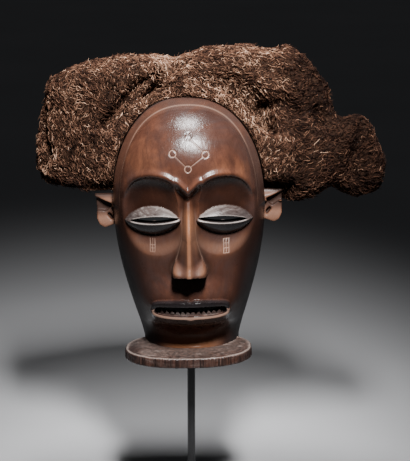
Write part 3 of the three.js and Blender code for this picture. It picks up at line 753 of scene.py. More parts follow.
def ear_body(side):
    """One ear, cut as a plate with an open pit and a fold."""
    near = REAR_EDGE - EAR_THICK
    pit = EAR_PIT + [(EAR_LOBE_AT, EAR_LOBE_TOP[side]), (EAR_PIT[0][0], EAR_LOBE_TOP[side])]
    outline, *cuts = (
        [(side * x, z + EAR_LIFT[side]) for x, z in points] for points in (EAR_OUTLINE, pit, EAR_FOLD)
    )
    ear = plate_body("mask_ears", outline, near, REAR_EDGE)
    depths = near - PIT_AHEAD, near + EAR_PIT_DEPTH
    return joined(ear, "DIFFERENCE", *(plate_body("pit", points, *depths) for points in cuts))


def ears():
    """Both ears as one rounded piece; the right one sits higher."""
    near = REAR_EDGE - EAR_THICK
    whole = joined(ear_body(1), "UNION", ear_body(-1))
    applied(whole, "REMESH", mode="VOXEL", voxel_size=EAR_GRAIN * MM)
    reshape(whole, relaxed(vertices_of(whole), edges_of(whole), EAR_ROUNDING))
    local = lifted(vertices_of(whole))
    x, y, z = local.T
    up = z - np.where(x > 0, EAR_LIFT[1], EAR_LIFT[-1])
    in_front = fade(y, near + EAR_FRONT[0], near + EAR_FRONT[1])
    leaning = level(up, *SPIKE) * level(up, *SPIKE_FROM) + between(up, *LOBE)
    local[:, 1] += EAR_SLOPE * in_front * leaning
    reshape(whole, placed(local))
    pit = level(local[:, 1], near + PIT_SHADE[0], near + PIT_SHADE[1])
    set_masks(whole, masks_from({"rubbed_and_lit": in_front * (1 - pit), "pit": pit}, EAR_MASKS))
    return smooth_shaded(whole)


COLLAR_STEPS = 760
# The collar's edge: how far in from its outline and how high.
COLLAR_EDGE = [
    (14, 0), (4, 0), (1.2, 0.1), (0.5, 0.4), (0.1, 1), (0, 1.8), (0, 3),
    (0, 4.2), (0, 5.4), (0, 6.6), (0, 7.6), (0.2, 8.3), (0.6, 8.8), (1.2, 9.1),
    (2, 9.05), (3.2, 8.8), (5, 8.7), (8, 8.75), (12, 8.9), (17, 9), (24, 9.1),
]
# Waves round the collar: how many, how high in millimetres and where they start.
COLLAR_WAVES = [(3, 0.35, 1), (7, 0.25, 0), (16, 0.15, 2)]
WAVE_OUT, WAVY_IN, WAVE_UP, WAVY_FROM, ROUGH_UP, ROUGH_FROM = 0.5, 6, 0.25, 8, 0.05, 8.5
# Tool marks: their depth, how they run into each other, and how deep they are that far in.
MARK_DEPTH, MARK_BLEND, MARKED = 0.32, (0.5, 0.3, 0.2), [(0.3, 1), (1.5, 0.4)]
CHIN_LINE, PALE_EDGE = (-1.2, 1.1), (0.9, 0.9)
COLLAR_TOP_FROM, COLLAR_LEFT_DARK, NEAR_CHIN = (8.2, 9), (-58, -38), (-6, 0)
COLLAR_MASKS = {
    "pale": {"top": 0.14, "edge": 0.2, "chin_line": 0.4},
    "grey": {"top": 0.6, "side": 0.25},
    "dark": {"left": 0.6},
    "sunk": {"side": 0.1},
    "ticks": {"top": 0.8, "side": 0.9},
    "worn_and_lit": {"top": 0.3, "by_chin": 0.5},
}


def collar():
    """The flat ledge round the chin, with upright tool marks on its edge."""
    angle = np.linspace(0, 2 * np.pi, COLLAR_STEPS, endpoint=False)
    across, along = (np.sign(v) * np.abs(v) ** (2 / COLLAR_POWER) for v in (np.cos(angle), np.sin(angle)))
    middle = (COLLAR_SIDEWAYS, COLLAR_CENTRE)
    marks = rng.normal(size=COLLAR_STEPS)
    marks = sum(share * np.roll(marks, shift) for shift, share in enumerate(MARK_BLEND))
    waves = sum(high * np.sin(count * angle + start) for count, high, start in COLLAR_WAVES)
    rings = []
    for inset, z in COLLAR_EDGE:
        cut = next((share for limit, share in MARKED if inset < limit), 0)
        reach = inset + cut * MARK_DEPTH * marks + WAVE_OUT * waves * (inset < WAVY_IN)
        height = z + WAVE_UP * waves * (z > WAVY_FROM) + ROUGH_UP * marks * (z > ROUGH_FROM)
        x, y = (COLLAR_HALF - reach) * across, (COLLAR_HALF_DEPTH - reach) * along
        rings.append(xyz(COLLAR_SIDEWAYS + x, COLLAR_CENTRE + y, height))
    piece = stacked_rings("mask_collar", rings, (*middle, 0), (*middle, COLLAR_THICK))
    joined(piece, "DIFFERENCE", hollow_body())
    x, y, z = lifted(vertices_of(piece)).T
    out = radius_in(x - COLLAR_SIDEWAYS, y - COLLAR_CENTRE, COLLAR_HALF, COLLAR_HALF_DEPTH, COLLAR_POWER)
    neck = np.full_like(z, COLLAR_THICK + 0.5)
    depth = section_depth(FRONT_PROFILE, MASK_TOP, neck)
    before_chin = y - REAR_EDGE + depth * round_off(np.abs(x) / half_width(neck), SECTION_POWER)
    top = level(z, *COLLAR_TOP_FROM)
    set_masks(piece, masks_from({
        "top": top,
        "side": 1 - top,
        "edge": top * line((1 - out) * COLLAR_HALF_DEPTH, *PALE_EDGE),
        "chin_line": top * line(before_chin, *CHIN_LINE),
        "by_chin": top * level(before_chin, *NEAR_CHIN),
        "left": fade(x, *COLLAR_LEFT_DARK),
    }, COLLAR_MASKS))
    return smooth_shaded(piece, 50)


def blurred(grid, reach):
    """A grid softened by a bell of that many cells."""
    offsets = np.arange(-3 * reach, 3 * reach + 1)
    weights = bell(offsets, reach * math.sqrt(2))
    weights /= weights.sum()
    for axis in (0, 1):
        padded = np.pad(grid, [(3 * reach,) * 2 if a == axis else (0, 0) for a in (0, 1)], mode="edge")
        grid = np.apply_along_axis(np.convolve, axis, padded, weights, mode="valid")
    return grid


# The shade in the cuts, and how near a point lies to the front, on most of it and at the lids.
GRID_HALF, BLUR, DEEP, LIDS_HALF = 72, 5, 6, 6
SURFACE_NEAR, LIDS_NEAR = (3.5, -1, 1), (0.5, -0.2, 0.3)
HOLLOW_SHADE = 0.8


def sunken(x, z):
    """How far a point of the face lies below what is round it, 0 to 1."""
    gx, gz = np.meshgrid(np.arange(-GRID_HALF, GRID_HALF + 1.0), np.arange(0.0, MASK_TOP + 1))
    relief = carve(gx, gz)[0]
    low = np.clip((blurred(relief, BLUR) - relief) / DEEP, 0, 1)
    i = np.clip(z, 0, MASK_TOP - 0.01)
    j = np.clip(x + GRID_HALF, 0, 2 * GRID_HALF - 0.01)
    row, column = i.astype(int), j.astype(int)
    up, over = i - row, j - column
    lower, upper = (low[k, column] * (1 - over) + low[k, column + 1] * over for k in (row, row + 1))
    return lower * (1 - up) + upper * up


def face():
    """The hollow face shell with its eye and mouth slots."""
    piece = joined(face_body(), "DIFFERENCE", hollow_body())
    slots = [
        slot_body(side * SLIT_X, SLIT_Z, SLIT_HALF, SLIT_SAG, SLIT_HIGH, side * SLIT_TILT)
        for side in (1, -1)
    ]
    slots.append(slot_body(MOUTH_X, GAP_Z, GAP_HALF, GAP_HIGH, GAP_HIGH))
    joined(piece, "DIFFERENCE", *slots)
    x, y, z = lifted(vertices_of(piece)).T
    surface, masks = face_point(z, np.clip(x / np.maximum(half_width(z), 1e-6), -1, 1))
    before, at_lids = (
        level(surface[:, 1] + room - y, low, high) for room, low, high in (SURFACE_NEAR, LIDS_NEAR)
    )
    outside = np.where(np.abs(z - SLIT_Z) < LIDS_HALF, at_lids, before)
    masks["sunk"] = np.clip(masks["sunk"] + sunken(x, z), 0, 1)
    for key in ("pale", "grey", "worn_and_lit", "sunk", "dark"):
        masks[key] = masks[key] * outside
    masks["dark"] += HOLLOW_SHADE * (1 - outside)
    masks["plain"] = np.maximum(masks["plain"], 1 - outside)
    set_masks(piece, masks)
    return smooth_shaded(piece, 60)


# The headdress, in millimetres of the row frame.
CORE_GRAIN, CORE_ROUNDING = 2.2, 16
CORE_INSET, HIDDEN_INSET = 3.0, 0.8
# Creases: depth, width and the line they follow.
CREASES = [
    (13, 5, [(-22, 392), (-34.6, 398.4), (-45.4, 387.3), (-56.2, 375.9), (-66, 364), (-78, 350)]),
    (15, 6, [(-40, 373), (-31, 379), (-25, 383)]),
    (9, 4, [(-24, 381), (-21, 394), (-17, 404)]),
    (15, 6, [(20, 391), (39.4, 385.6), (52.8, 375.1), (63.6, 364.3), (71, 352)]),
    (10, 10, [(40, 389), (54, 380), (64, 369), (70, 360)]),
    (6, 4, [(71, 352), (74, 339), (72.5, 326)]),
    (9, 5, [(153, 349), (151.5, 338), (149, 328), (146.5, 316), (147, 306)]),
    (7, 5, [(116, 362), (124, 349), (127, 338)]),
    (8, 4.5, [(-135, 372), (-138, 352), (-137, 338), (-133, 322), (-137, 310)]),
    (6, 5, [(66, 366), (84, 371), (98, 362)]),
]
# The hem at the lower left is undercut below a line.
UNDERCUT, UNDERCUT_DEPTH, UNDERCUT_EDGE, UNDERCUT_END = (-142, 303, -100, 292), 11, (-3, 1), (-104, -96)
# Swellings: place, radius and height.
SWELLS = [(-122, 394, 26, 8), (-143, 372, 20, 3)]
SKYLINE = [(55, 423), (75, 418.5), (85, 415.5), (96, 410.5), (109, 399.5), (123, 382), (132, 366)]
LUMP_SIZE, LUMP_HEIGHT = 19, 1.0
NUB_SIZE, NUB_HEIGHT = 3.2, 0.7
TOWARDS_FRONT, BACK_ROOM, BACK_DEPTH = (-0.35, 0.25), 3, 4
RIM_SQUEEZE, RIM_NEAR, RIM_BEHIND = 0.9, (-9, -5), (REAR_EDGE, REAR_EDGE + 7)
EAR_ROOM_AT, EAR_ROOM, EAR_ROOM_TOP = 76, (12, 22), (150, 160)
HEAD_MIDDLE = (0, 58, 292)
HEAD_RADII = (66, 66, 88)
HEAD_NEAR = 1.12

FIBRES = 33000
FIBRE_POINTS = 4
FIBRE_LENGTH = (4, 9.5)
FIBRE_RADIUS = (0.25, 0.45)
FIBRE_TAPER = 0.3
SWING, BEND, UNEVEN_STEP, UNEVEN_RISE = 0.5, 1.8, 0.025, 0.28
CRIMP, CRIMP_RANGE = 0.6, (0.5, 1.3)
RISE, DIP = (0.2, 2.3), 0.5
FRIZZY, FRIZZ_RISE = 0.05, (1.5, 5)
# Where strands have worked loose: place and size.
LOOSE = [(74, 352, 9), (-104, 288, 9), (-131, 288, 6), (103, 286, 7)]
LOOSE_LENGTH, LOOSE_FRIZZ = 2.2, 0.25
OFF_FACE, OFF_OUTLINE = 0.8, -0.7
# How densely fibres grow inside, on the wood, along the rim and behind, and where those are.
INSIDE_SHARE, ON_WOOD_SHARE, ALONG_RIM_SHARE, BEHIND_SHARE = 0.3, 0.1, 2.2, 0.6
ON_WOOD, ALONG_RIM, BEHIND = (-1.5, REAR_EDGE - 1), (-6, -0.2, REAR_EDGE + 2), 0.3

# The roll along the right of the forehead, and the pale knot.
ROLL = [(0, 388), (30, 380), (52, 366), (64, 348), (69, 325), (68, 305)]
KNOT = (-27, 402, 13)
# The way the fibres run: down the lobes, over the crown, along the roll and at the far right.
WAY_DOWN, WAY_OVER, WAY_RIGHT = (0.55, 0, -0.8), (0.9, 0, 0.7), (0.75, 0.1, 0.55)
WAY_ALONG, WAY_TURNS = (1.35, 0, -0.525), (-0.018, 0, -0.03)
CROWN_X, CROWN_Z, ROLL_EDGE, FAR_RIGHT = (-45, -10), (372, 382), (7, 12), (84, 100)
STRAY, STRAY_SIZE = 0.5, 24
# How pale the fibre is: on the whole, in patches (share and size), and at four places, of which the darker
# far right and hem are painted shade.
PALENESS, PATCHES, PALE_UNEVEN = 0.42, [(0.11, 42, 7), (0.10, 11, 8)], 0.25
KNOT_PALER, ROLL_PALER, ROLL_PALE_EDGE = 0.22, 0.16, (6, 12)
RIGHT_DARKER, RIGHT_DARK, HEM_DARKER, HEM_HEIGHTS, HEM_END = 0.30, (70, 105), 0.4, (292, 302), (-104, -86)


def ripple(points, size, seed, waves=16):
    """A smooth random field, about -1 to 1, whose swells are about that many millimetres wide."""
    draw = np.random.default_rng(seed)
    way = draw.normal(size=(waves, 3))
    way *= (2 * np.pi / (size * draw.uniform(0.8, 2.4, waves) * np.linalg.norm(way, axis=1)))[:, None]
    return np.sin(points @ way.T + draw.uniform(0, 2 * np.pi, waves)).sum(axis=1) / math.sqrt(waves)


def to_polyline(x, z, stops):
    return np.min([to_segment(x, z, start, end) for start, end in zip(stops[:-1], stops[1:])], axis=0)


def unit(vectors):
    return vectors / np.maximum(np.linalg.norm(vectors, axis=-1, keepdims=True), 1e-9)


def facing_inwards(points, normals):
    """Whether a point of the headdress faces the head."""
    away = (points - HEAD_MIDDLE) / HEAD_RADII
    return (np.linalg.norm(away, axis=1) < HEAD_NEAR) & ((away * normals).sum(axis=1) < 0)


def against_mask(points):
    """Whether a point lies on the back of the wooden face."""
    x, y, z = lifted(points * MM).T
    return (inside_outline(x, z) > -BACK_ROOM) & (y < REAR_EDGE + BACK_DEPTH)


def towards_face(x, z):
    """The direction across the rim, from outside it to inside it."""
    across, up = (
        inside_outline(x + i, z + j) - inside_outline(x - i, z - j) for i, j in ((0.5, 0), (0, 0.5))
    )
    return unit(xyz(across, 0, up))


def round_the_face(points):
    """Draws the mass in against the wooden rim, and back from the front of the ears."""
    local = lifted(points * MM)
    x, y, z = local.T
    inside = inside_outline(x, z)
    near = level(inside, *RIM_NEAR) * fade(y, *RIM_BEHIND) * (inside < 0)
    squeezed = local - towards_face(x, z) * (RIM_SQUEEZE * near * inside)[:, None]
    by_ear = fade(np.abs(np.abs(x) - EAR_ROOM_AT), *EAR_ROOM) * fade(z, *EAR_ROOM_TOP)
    squeezed[:, 1] += by_ear * np.maximum(REAR_EDGE + 1 - y, 0)
    return placed(squeezed) / MM


def core_push(points, normals, outer):
    """How far each point of the core is drawn in, by the folds, the undercut hem and the lumps."""
    x, _, z = points.T
    front = fade(normals[:, 1], *TOWARDS_FRONT)
    push = np.where(outer, CORE_INSET, HIDDEN_INSET)
    for depth, width, stops in CREASES:
        push = push + front * depth * bell(to_polyline(x, z, stops), width)
    x0, z0, x1, z1 = UNDERCUT
    over = z - z0 - (z1 - z0) * (x - x0) / (x1 - x0)
    push = push + front * UNDERCUT_DEPTH * fade(over, *UNDERCUT_EDGE) * fade(x, *UNDERCUT_END)
    for *swell, height in SWELLS:
        push = push - height * spot(x, z, *swell)
    return push - outer * LUMP_HEIGHT * ripple(points, LUMP_SIZE, 3)


def headdress_core():
    """The dense inner mass: the lobes with their folds, lumps and hollow hem."""
    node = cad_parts["headdress"]
    piece = bpy.data.objects.new("headdress_core", node.data.copy())
    piece.data.materials.clear()
    bpy.context.scene.collection.objects.link(piece)
    applied(piece, "REMESH", mode="VOXEL", voxel_size=CORE_GRAIN * MM)
    edges = edges_of(piece)
    reshape(piece, relaxed(vertices_of(piece), edges, CORE_ROUNDING))
    points, normals = vertices_of(piece) / MM, normals_of(piece)
    outer = ~(facing_inwards(points, normals) | against_mask(points))
    under_skyline = (points[:, 0] > SKYLINE[0][0]) & (points[:, 0] < SKYLINE[-1][0])
    points = points - normals * core_push(points, normals, outer)[:, None]
    over = np.maximum(points[:, 2] - straight_lines(SKYLINE, points[:, 0]), 0)
    points[:, 2] -= np.where(under_skyline, over, 0)
    points = round_the_face(relaxed(points, edges, 2))
    points += normals * (NUB_HEIGHT * outer * ripple(points, NUB_SIZE, 4))[:, None]
    reshape(piece, points * MM)
    return smooth_shaded(piece)


def surface_samples(piece, count):
    """Random points of the core's surface with their normals, fewer on its hidden sides."""
    piece.data.calc_loop_triangles()
    corners = values_of(piece.data.loop_triangles, "vertices", 3, np.int32)
    points, normals = vertices_of(piece) / MM, normals_of(piece)
    a, b, c = (points[corners[:, i]] for i in range(3))
    area = np.linalg.norm(np.cross(b - a, c - a), axis=1) / 2
    middle = (a + b + c) / 3
    facing = normals[corners[:, 0]]
    weight = np.where(facing_inwards(middle, facing), INSIDE_SHARE, 1)
    x, y, z = lifted(middle * MM).T
    inside = inside_outline(x, z)
    on_wood = (inside > ON_WOOD[0]) & (y > ON_WOOD[1])
    along_rim = (inside > ALONG_RIM[0]) & (inside < ALONG_RIM[1]) & (y < ALONG_RIM[2])
    weight = np.where(along_rim, ALONG_RIM_SHARE, np.where(on_wood, ON_WOOD_SHARE, weight))
    weight = weight * np.where(facing[:, 1] > BEHIND, BEHIND_SHARE, 1)
    chance = area * weight
    picked = rng.choice(len(area), count, p=chance / chance.sum())
    u, v = rng.random((2, count, 1))
    flip = u + v > 1
    u, v = np.where(flip, 1 - u, u), np.where(flip, 1 - v, v)
    return a[picked] + u * (b - a)[picked] + v * (c - a)[picked], facing[picked]


def flow(points):
    """The way the fibres run, before they are laid on the surface."""
    x, _, z = points.T
    crown, roll, right = (
        share[:, None] for share in (
            level(x, *CROWN_X) * level(z, *CROWN_Z),
            fade(to_polyline(x, z, ROLL), *ROLL_EDGE),
            level(x, *FAR_RIGHT),
        )
    )
    way = WAY_DOWN + crown * WAY_OVER
    way += roll * (WAY_ALONG + np.maximum(x, 0)[:, None] * WAY_TURNS - way)
    way += right * (WAY_RIGHT - way)
    for axis, seed in ((0, 5), (2, 6)):
        way[:, axis] += STRAY * ripple(points, STRAY_SIZE, seed)
    return way


def laid_on(tree, points):
    """The nearest surface points and normals, in millimetres."""
    found = [tree.find_nearest(p)[:2] for p in points.reshape(-1, 3) * MM]
    near, normals = (np.array([hit[i] for hit in found]).reshape(points.shape) for i in (0, 1))
    return near / MM, normals


def fibre_paths(tree, seeds, normals):
    """Crimped paths that dip into the surface at both ends."""
    count = len(seeds)
    way = flow(seeds)
    way = unit(way - normals * (way * normals).sum(axis=1, keepdims=True))
    swing = rng.normal(0, SWING, (count, 1))
    way = way * np.cos(swing) + np.cross(normals, way) * np.sin(swing)
    cross = np.cross(normals, way)
    length = rng.uniform(*FIBRE_LENGTH, (count, 1))
    loose = sum(spot(seeds[:, 0], seeds[:, 2], *place) for place in LOOSE)[:, None]
    length = length * (1 + LOOSE_LENGTH * loose * rng.random((count, 1)) ** 2)
    t = np.linspace(-0.5, 0.5, FIBRE_POINTS)[None, :]
    step = length * (t + rng.normal(0, UNEVEN_STEP, (count, FIBRE_POINTS)))
    zigzag = np.where(np.arange(FIBRE_POINTS) % 2, 1, -1)[None, :]
    crimp = CRIMP * zigzag * rng.uniform(*CRIMP_RANGE, (count, FIBRE_POINTS))
    bend = rng.normal(0, BEND, (count, 1)) * (1 - 4 * t * t)
    paths = seeds[:, None] + way[:, None] * step[..., None] + cross[:, None] * (crimp + bend)[..., None]
    near, outward = laid_on(tree, paths)
    rise = rng.uniform(*RISE, (count, 1)) * np.cos(np.pi * t) - DIP
    rise = rise + rng.normal(0, UNEVEN_RISE, (count, FIBRE_POINTS))
    frizz = rng.random((count, 1)) < FRIZZY + LOOSE_FRIZZ * loose
    rise = rise + frizz * rng.uniform(*FRIZZ_RISE, (count, 1)) * np.maximum(2 * t, 0) ** 1.5
    paths = near + outward * rise[..., None]
    x, y, z = np.moveaxis(lifted(paths * MM), -1, 0)
    in_front = (inside_outline(x, z) > OFF_OUTLINE) & (y < REAR_EDGE + OFF_FACE)
    paths[..., 1] += np.where(in_front, REAR_EDGE + OFF_FACE - y, 0)
    return paths, outward


def tubes(paths, outward, radius):
    """Thin three-sided closed tubes along paths, tapered to their ends."""
    count, stops = paths.shape[:2]
    tangent = unit(np.gradient(paths, axis=1))
    side = unit(np.cross(tangent, outward))
    up = np.cross(side, tangent)
    t = np.linspace(-1, 1, stops)
    taper = FIBRE_TAPER + (1 - FIBRE_TAPER) * np.sqrt(np.maximum(1 - t ** 4, 0))
    corners = []
    for angle in np.pi / 2 + np.arange(3) * 2 * np.pi / 3:
        offset = side * np.cos(angle) + up * np.sin(angle)
        corners.append(paths + offset * (radius * taper[None, :])[..., None])
    points = np.stack(corners, axis=2).reshape(-1, 3)
    start = (np.arange(count) * stops * 3)[:, None, None]
    row = (np.arange(stops - 1) * 3)[None, :, None]
    i = np.arange(3)[None, None, :]
    a, b = start + row + i, start + row + (i + 1) % 3
    sides = np.stack([a, b, b + 3, a, b + 3, a + 3], axis=-1).reshape(-1, 3)
    first = start[:, 0] + np.array([2, 1, 0])
    last = start[:, 0] + (stops - 1) * 3 + np.array([0, 1, 2])
    return points, np.concatenate([sides, first, last])


def tone_of(points):
    """How pale the fibre is, 0 to 1, from place to place, with painted shade at the far right and under the
    hem.
    """
    x, _, z = points.T
    tone = PALENESS + sum(share * ripple(points, size, seed) for share, size, seed in PATCHES)
    tone += KNOT_PALER * spot(x, z, *KNOT)
    tone += ROLL_PALER * fade(to_polyline(x, z, ROLL[:4]), *ROLL_PALE_EDGE)
    # Painted shade: darker at the far right and under the hem at the lower left.
    tone -= RIGHT_DARKER * level(x, *RIGHT_DARK)
    tone -= HEM_DARKER * fade(z, *HEM_HEIGHTS) * fade(x, *HEM_END)
    return tone


def fibre_piece(name, paths, outward, radius, tone):
    points, faces = tubes(paths, outward, radius)
    piece = make_mesh(name, points * MM, faces)
    set_masks(piece, {"tone": np.repeat(tone, paths.shape[1] * 3)})
    return smooth_shaded(piece)


def fibres(core):
    """The looped and crimped fibres that cover the core, in four pieces from left to right."""
    tree = BVHTree.FromObject(core, bpy.context.evaluated_depsgraph_get())
    seeds, normals = surface_samples(core, FIBRES)
    paths, outward = fibre_paths(tree, seeds, normals)
    radius = rng.uniform(*FIBRE_RADIUS, (FIBRES, 1))
    tone = np.clip(tone_of(seeds) + rng.normal(0, PALE_UNEVEN, FIBRES), 0, 1)
    order = np.argsort(seeds[:, 0])
    names = ("fibres_left", "fibres_crown", "fibres_right", "fibres_end")
    return [
        fibre_piece(name, paths[part], outward[part], radius[part], tone[part])
        for name, part in zip(names, np.array_split(order, len(names)))
    ]


class Nodes:
    """Short ways to build a material's nodes."""

    def __init__(self, name):
        self.material = bpy.data.materials.new(name)
        self.material.use_nodes = True
        self.tree = self.material.node_tree
        self.shader = self.tree.nodes["Principled BSDF"]
        self.place = self.add("ShaderNodeTexCoord").outputs["Object"]

    def feed(self, node, inputs):
        """Sets or links some of a node's inputs."""
        for key, value in inputs.items():
            if isinstance(value, bpy.types.NodeSocket):
                self.tree.links.new(value, node.inputs[key])
            else:
                node.inputs[key].default_value = value

    def add(self, kind, inputs=None, **settings):
        node = self.tree.nodes.new(kind)
        for key, value in settings.items():
            setattr(node, key, value)
        self.feed(node, inputs or {})
        return node

    def noise(self, scale, detail=4, roughness=0.6, stretch=(1, 1, 1), distortion=0):
        place = self.add("ShaderNodeMapping", {"Vector": self.place, "Scale": stretch}).outputs[0]
        shape = {"Vector": place, "Scale": scale, "Detail": detail}
        shape.update({"Roughness": roughness, "Distortion": distortion})
        return self.add("ShaderNodeTexNoise", shape).outputs["Fac"]

    def ramp(self, value, *stops):
        node = self.add("ShaderNodeValToRGB", {0: value})
        bar = node.color_ramp
        while len(bar.elements) < len(stops):
            bar.elements.new(0.5)
        for element, (place, color) in zip(bar.elements, stops):
            element.position = place
            element.color = (*color, 1)
        return node.outputs[0]

    def spread(self, value, *limits):
        """A value drawn out from its limits to 0 and 1, or to the last two limits."""
        return self.add("ShaderNodeMapRange", dict(enumerate((value, *limits)))).outputs[0]

    def math(self, operation, *values):
        return self.add("ShaderNodeMath", dict(enumerate(values)), operation=operation).outputs[0]

    def mix(self, share, under, over):
        over = (*over, 1) if isinstance(over, tuple) else over
        under = (*under, 1) if isinstance(under, tuple) else under
        return self.add("ShaderNodeMix", {0: share, 6: under, 7: over}, data_type="RGBA").outputs[2]

    def mask(self, key):
        return self.add("ShaderNodeAttribute", attribute_name=key).outputs["Fac"]

    def bump(self, height, distance, strength):
        node = self.add("ShaderNodeBump", {"Strength": strength, "Distance": distance, "Height": height})
        self.set(Normal=node.outputs[0])

    def set(self, **values):
        self.feed(self.shader, {key.replace("_", " "): value for key, value in values.items()})


WOOD = [(0.3, (0.030, 0.011, 0.007)), (0.55, (0.078, 0.030, 0.018)), (0.75, (0.150, 0.058, 0.030))]
STREAK, GRAIN = (0.052, 0.020, 0.013), (0.040, 0.015, 0.010)
PATINA, STAIN, MOTTLE = (0.034, 0.021, 0.019), (0.030, 0.014, 0.010), (0.034, 0.014, 0.010)
LIGHTER_WOOD, SHADED_WOOD = (0.21, 0.078, 0.028), (0.015, 0.006, 0.004)
# Streaked silver over the grey mask; on the upper lids its bright streaks are a painted reflection.
SILVER = [(0.36, (0.030, 0.023, 0.022)), (0.54, (0.10, 0.083, 0.078)), (0.7, (0.32, 0.285, 0.265))]
TICK, BLACK = (0.014, 0.009, 0.008), (0.009, 0.008, 0.009)
# Pale colours, for chalk in the cuts and for painted highlights.
WARM_PALE, GREY_PALE = (0.50, 0.32, 0.24), (0.56, 0.51, 0.48)
# How much rougher the wood is under each mask.
ROUGHER = {"pale": 0.2, "worn_and_lit": 0.8, "plain": 0.6}


def wood():
    """Dark red-brown wood, oiled and smoothed by rubbing, with grain along the face, dust in the cuts, and
    painted shade and highlights.
    """
    n = Nodes("carved_wood")
    grain = n.noise(1, 5, 0.65, (420, 420, 26), 0.6)
    streak = n.noise(1, 3, 0.5, (95, 95, 9), 0.4)
    cloud = n.noise(18, 4, 0.6)
    patina = n.noise(11, 5, 0.65, (1, 1, 0.8), 0.8)
    darker_wood = n.noise(34, 5, 0.7, (1, 1, 0.5), 1.2)
    mottle = n.noise(95, 5, 0.75, (1, 1, 0.4), 0.8)
    rubbed_and_lit = n.math("MULTIPLY", n.mask("worn_and_lit"), n.spread(patina, 0.3, 0.6, 1, 0.7))
    silver = n.ramp(n.noise(1, 5, 0.75, (60, 60, 190), 1.5), *SILVER)
    tool_mark = n.spread(n.noise(1, 4, 0.8, (300, 300, 26), 0.5), 0.44, 0.56)
    ticks = n.math("MULTIPLY", n.mask("ticks"), tool_mark)
    chalk_and_highlight = n.mix(n.mask("grey"), WARM_PALE, GREY_PALE)
    color = n.ramp(cloud, *WOOD)
    # Layers over the plain wood: what drives each, its lower and upper limit, strength and colour.
    for layer, low, high, strength, over in (
        (streak, 0.42, 0.7, 0.55, STREAK),
        (grain, 0.5, 0.72, 0.45, GRAIN),
        (patina, 0.45, 0.58, 0.8, PATINA),
        (darker_wood, 0.52, 0.7, 0.6, STAIN),
        (mottle, 0.45, 0.65, 0.5, MOTTLE),
        # Lighter wood where the dark staining wears thin, and painted light on the chin's flare and the
        # nose's flank lines.
        (rubbed_and_lit, 0, 1, 0.8, LIGHTER_WOOD),
        (n.mask("sunk"), 0.05, 0.6, 0.8, SHADED_WOOD),
        (n.mask("grey"), 0, 1, 0.85, silver),
        (ticks, 0, 1, 1, TICK),
        # Black for the lips and brows, and painted shade in the mouth, on the lower lids, on the jaw and
        # inside the hollow.
        (n.mask("dark"), 0, 1, 0.94, BLACK),
        # Chalk in the cuts, and painted highlights on the lids, nose and lower lip.
        (n.mask("pale"), 0.1, 1, 0.85, chalk_and_highlight),
    ):
        color = n.mix(n.spread(layer, low, high, 0, strength), color, over)
    rough = n.spread(n.noise(60, 4, 0.7), 0.3, 0.7, 0.2, 0.34)
    for key, more in ROUGHER.items():
        rough = n.math("ADD", rough, n.math("MULTIPLY", n.mask(key), more))
    n.bump(n.math("ADD", grain, n.math("MULTIPLY", n.noise(160, 3, 0.6), 0.6)), 0.0004, 0.5)
    n.set(Base_Color=color, Roughness=rough, Specular_IOR_Level=0.3, Coat_Weight=0.05, Coat_Roughness=0.2)
    return n.material


FIBRE_COLORS = [
    (0.0, (0.009, 0.004, 0.003)),
    (0.4, (0.078, 0.035, 0.021)),
    (0.7, (0.220, 0.114, 0.070)),
    (1.0, (0.56, 0.36, 0.25)),
]


def fibre_look():
    """Dusty brown plant fibre, paler and darker from thread to thread."""
    n = Nodes("plant_fibre")
    tone = n.math("ADD", n.mask("tone"), n.spread(n.noise(900, 3, 0.7), 0.3, 0.7, -0.12, 0.12))
    n.bump(n.noise(1400, 2, 0.6), 0.0002, 0.5)
    n.set(Base_Color=n.ramp(tone, *FIBRE_COLORS), Roughness=0.92, Specular_IOR_Level=0.1)
    return n.material


# Plainer looks: the clouds and the colours in them, roughness, specular level and bumps.
PLAIN_LOOKS = {
    # The darker, denser fibre below the strands.
    "fibre_core": (
        (420, 4, 0.75), [(0.35, (0.008, 0.004, 0.003)), (0.7, (0.044, 0.022, 0.013))],
        0.97, 0.08, ((520, 4, 0.7), 0.0012, 0.9),
    ),
    # Satin black paint with a faint orange-peel and a few rubbed patches.
    "black_metal": (
        (35, 4, 0.6), [(0.35, (0.0085, 0.0085, 0.009)), (0.7, (0.018, 0.018, 0.019))],
        (0.34, 0.52), 0.5, ((700, 2, 0.5), 0.0001, 0.35),
    ),
    "floor": ((3, 2, 0.5), [(0.3, (0.37, 0.37, 0.38)), (0.7, (0.40, 0.40, 0.41))], 0.9, 0.2, None),
}


def plain_look(name):
    n = Nodes(name)
    clouds, colors, rough, specular, bumps = PLAIN_LOOKS[name]
    if isinstance(rough, tuple):
        rough = n.spread(n.noise(220, 3, 0.6), 0.3, 0.7, *rough)
    if bumps:
        n.bump(n.noise(*bumps[0]), *bumps[1:])
    n.set(Base_Color=n.ramp(n.noise(*clouds), *colors), Roughness=rough, Specular_IOR_Level=specular)
    return n.material


def dressed(piece, material, slot, *nodes):
    """Gives a piece its material and its body, and hides the nodes it stands for; its slot is not used."""
    piece.data.materials.clear()
    piece.data.materials.append(material)
    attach(piece, "root")
    if nodes:
        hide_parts(*nodes)
    return piece


wood_material = wood()
for piece in (face(), collar(), ears()):
    dressed(piece, wood_material, "carved_wood", "mask")

core = headdress_core()
dressed(core, plain_look("fibre_core"), "plant_fibre", "headdress")
fibre_material = fibre_look()
for piece in fibres(core):
    dressed(piece, fibre_material, "plant_fibre", "headdress")

metal = plain_look("black_metal")
for name in ("stand_rod", "stand_foot"):
    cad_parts[name].data.materials.clear()
    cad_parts[name].data.materials.append(metal)


FLOOR_SIZE, FLOOR_BELOW = 16, 0.0005
SKY_COLOR, SKY_STRENGTH = (0.82, 0.84, 0.88, 1), 0.035
LIGHTS_AIM = Vector((0, 0, 0.29))
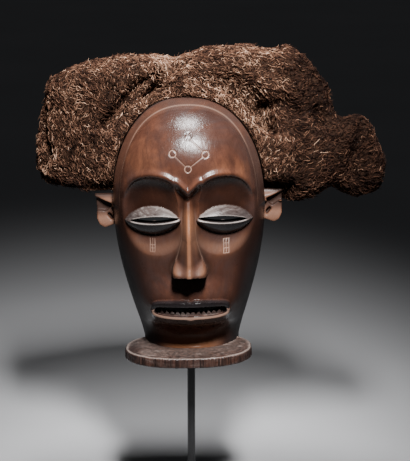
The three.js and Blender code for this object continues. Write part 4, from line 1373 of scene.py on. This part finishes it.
# Soft lamps: place, size, power in watts and how far their light spreads in degrees.
LAMPS = {
    "key": ((0.1, -0.8, 1.2), (0.16, 0.32), 1.9, 32),
    "top": ((0.0, -0.04, 1.4), (0.2, 0.5), 1.0, 28),
}


def floor():
    bpy.ops.mesh.primitive_plane_add(size=FLOOR_SIZE, location=(0, 0, -FLOOR_BELOW))
    piece = bpy.context.object
    piece.name = "floor"
    piece.data.materials.append(plain_look("floor"))


def turned_towards(thing, place, way):
    """Puts a lamp or the camera at a place, looking along a direction."""
    thing.location = place
    thing.rotation_mode = "QUATERNION"
    thing.rotation_quaternion = way.to_track_quat("-Z", "Y")
    bpy.context.scene.collection.objects.link(thing)


def area_light(name, place, size, power, spread):
    lamp = bpy.data.lights.new(name, "AREA")
    lamp.spread = math.radians(spread)
    lamp.shape = "RECTANGLE"
    lamp.size, lamp.size_y = size
    lamp.energy = power
    turned_towards(bpy.data.objects.new(name, lamp), place, LIGHTS_AIM - Vector(place))


def studio():
    world = bpy.data.worlds.new("studio")
    world.use_nodes = True
    world.node_tree.nodes["Background"].inputs[0].default_value = SKY_COLOR
    world.node_tree.nodes["Background"].inputs[1].default_value = SKY_STRENGTH
    bpy.context.scene.world = world
    for name, settings in LAMPS.items():
        area_light(name, *settings)


VIEW_DISTANCE = 1.5
VIEW_ELEVATION = math.radians(14)
VIEW_TARGET = Vector((0.0126, 0.002, 0.2575))
PIXEL = 0.0009
PHOTO_HEIGHT = 461
SENSOR = 36
NEAREST, FARTHEST = 0.05, 50


def camera():
    lens = bpy.data.cameras.new("camera")
    lens.sensor_fit = "VERTICAL"
    lens.sensor_height = SENSOR
    lens.sensor_width = SENSOR
    lens.lens = VIEW_DISTANCE * SENSOR / (PHOTO_HEIGHT * PIXEL)
    lens.clip_start, lens.clip_end = NEAREST, FARTHEST
    back = Vector((0, -math.cos(VIEW_ELEVATION), math.sin(VIEW_ELEVATION)))
    eye_point = bpy.data.objects.new("camera", lens)
    turned_towards(eye_point, VIEW_TARGET + VIEW_DISTANCE * back, -back)
    bpy.context.scene.camera = eye_point


floor()
studio()
camera()
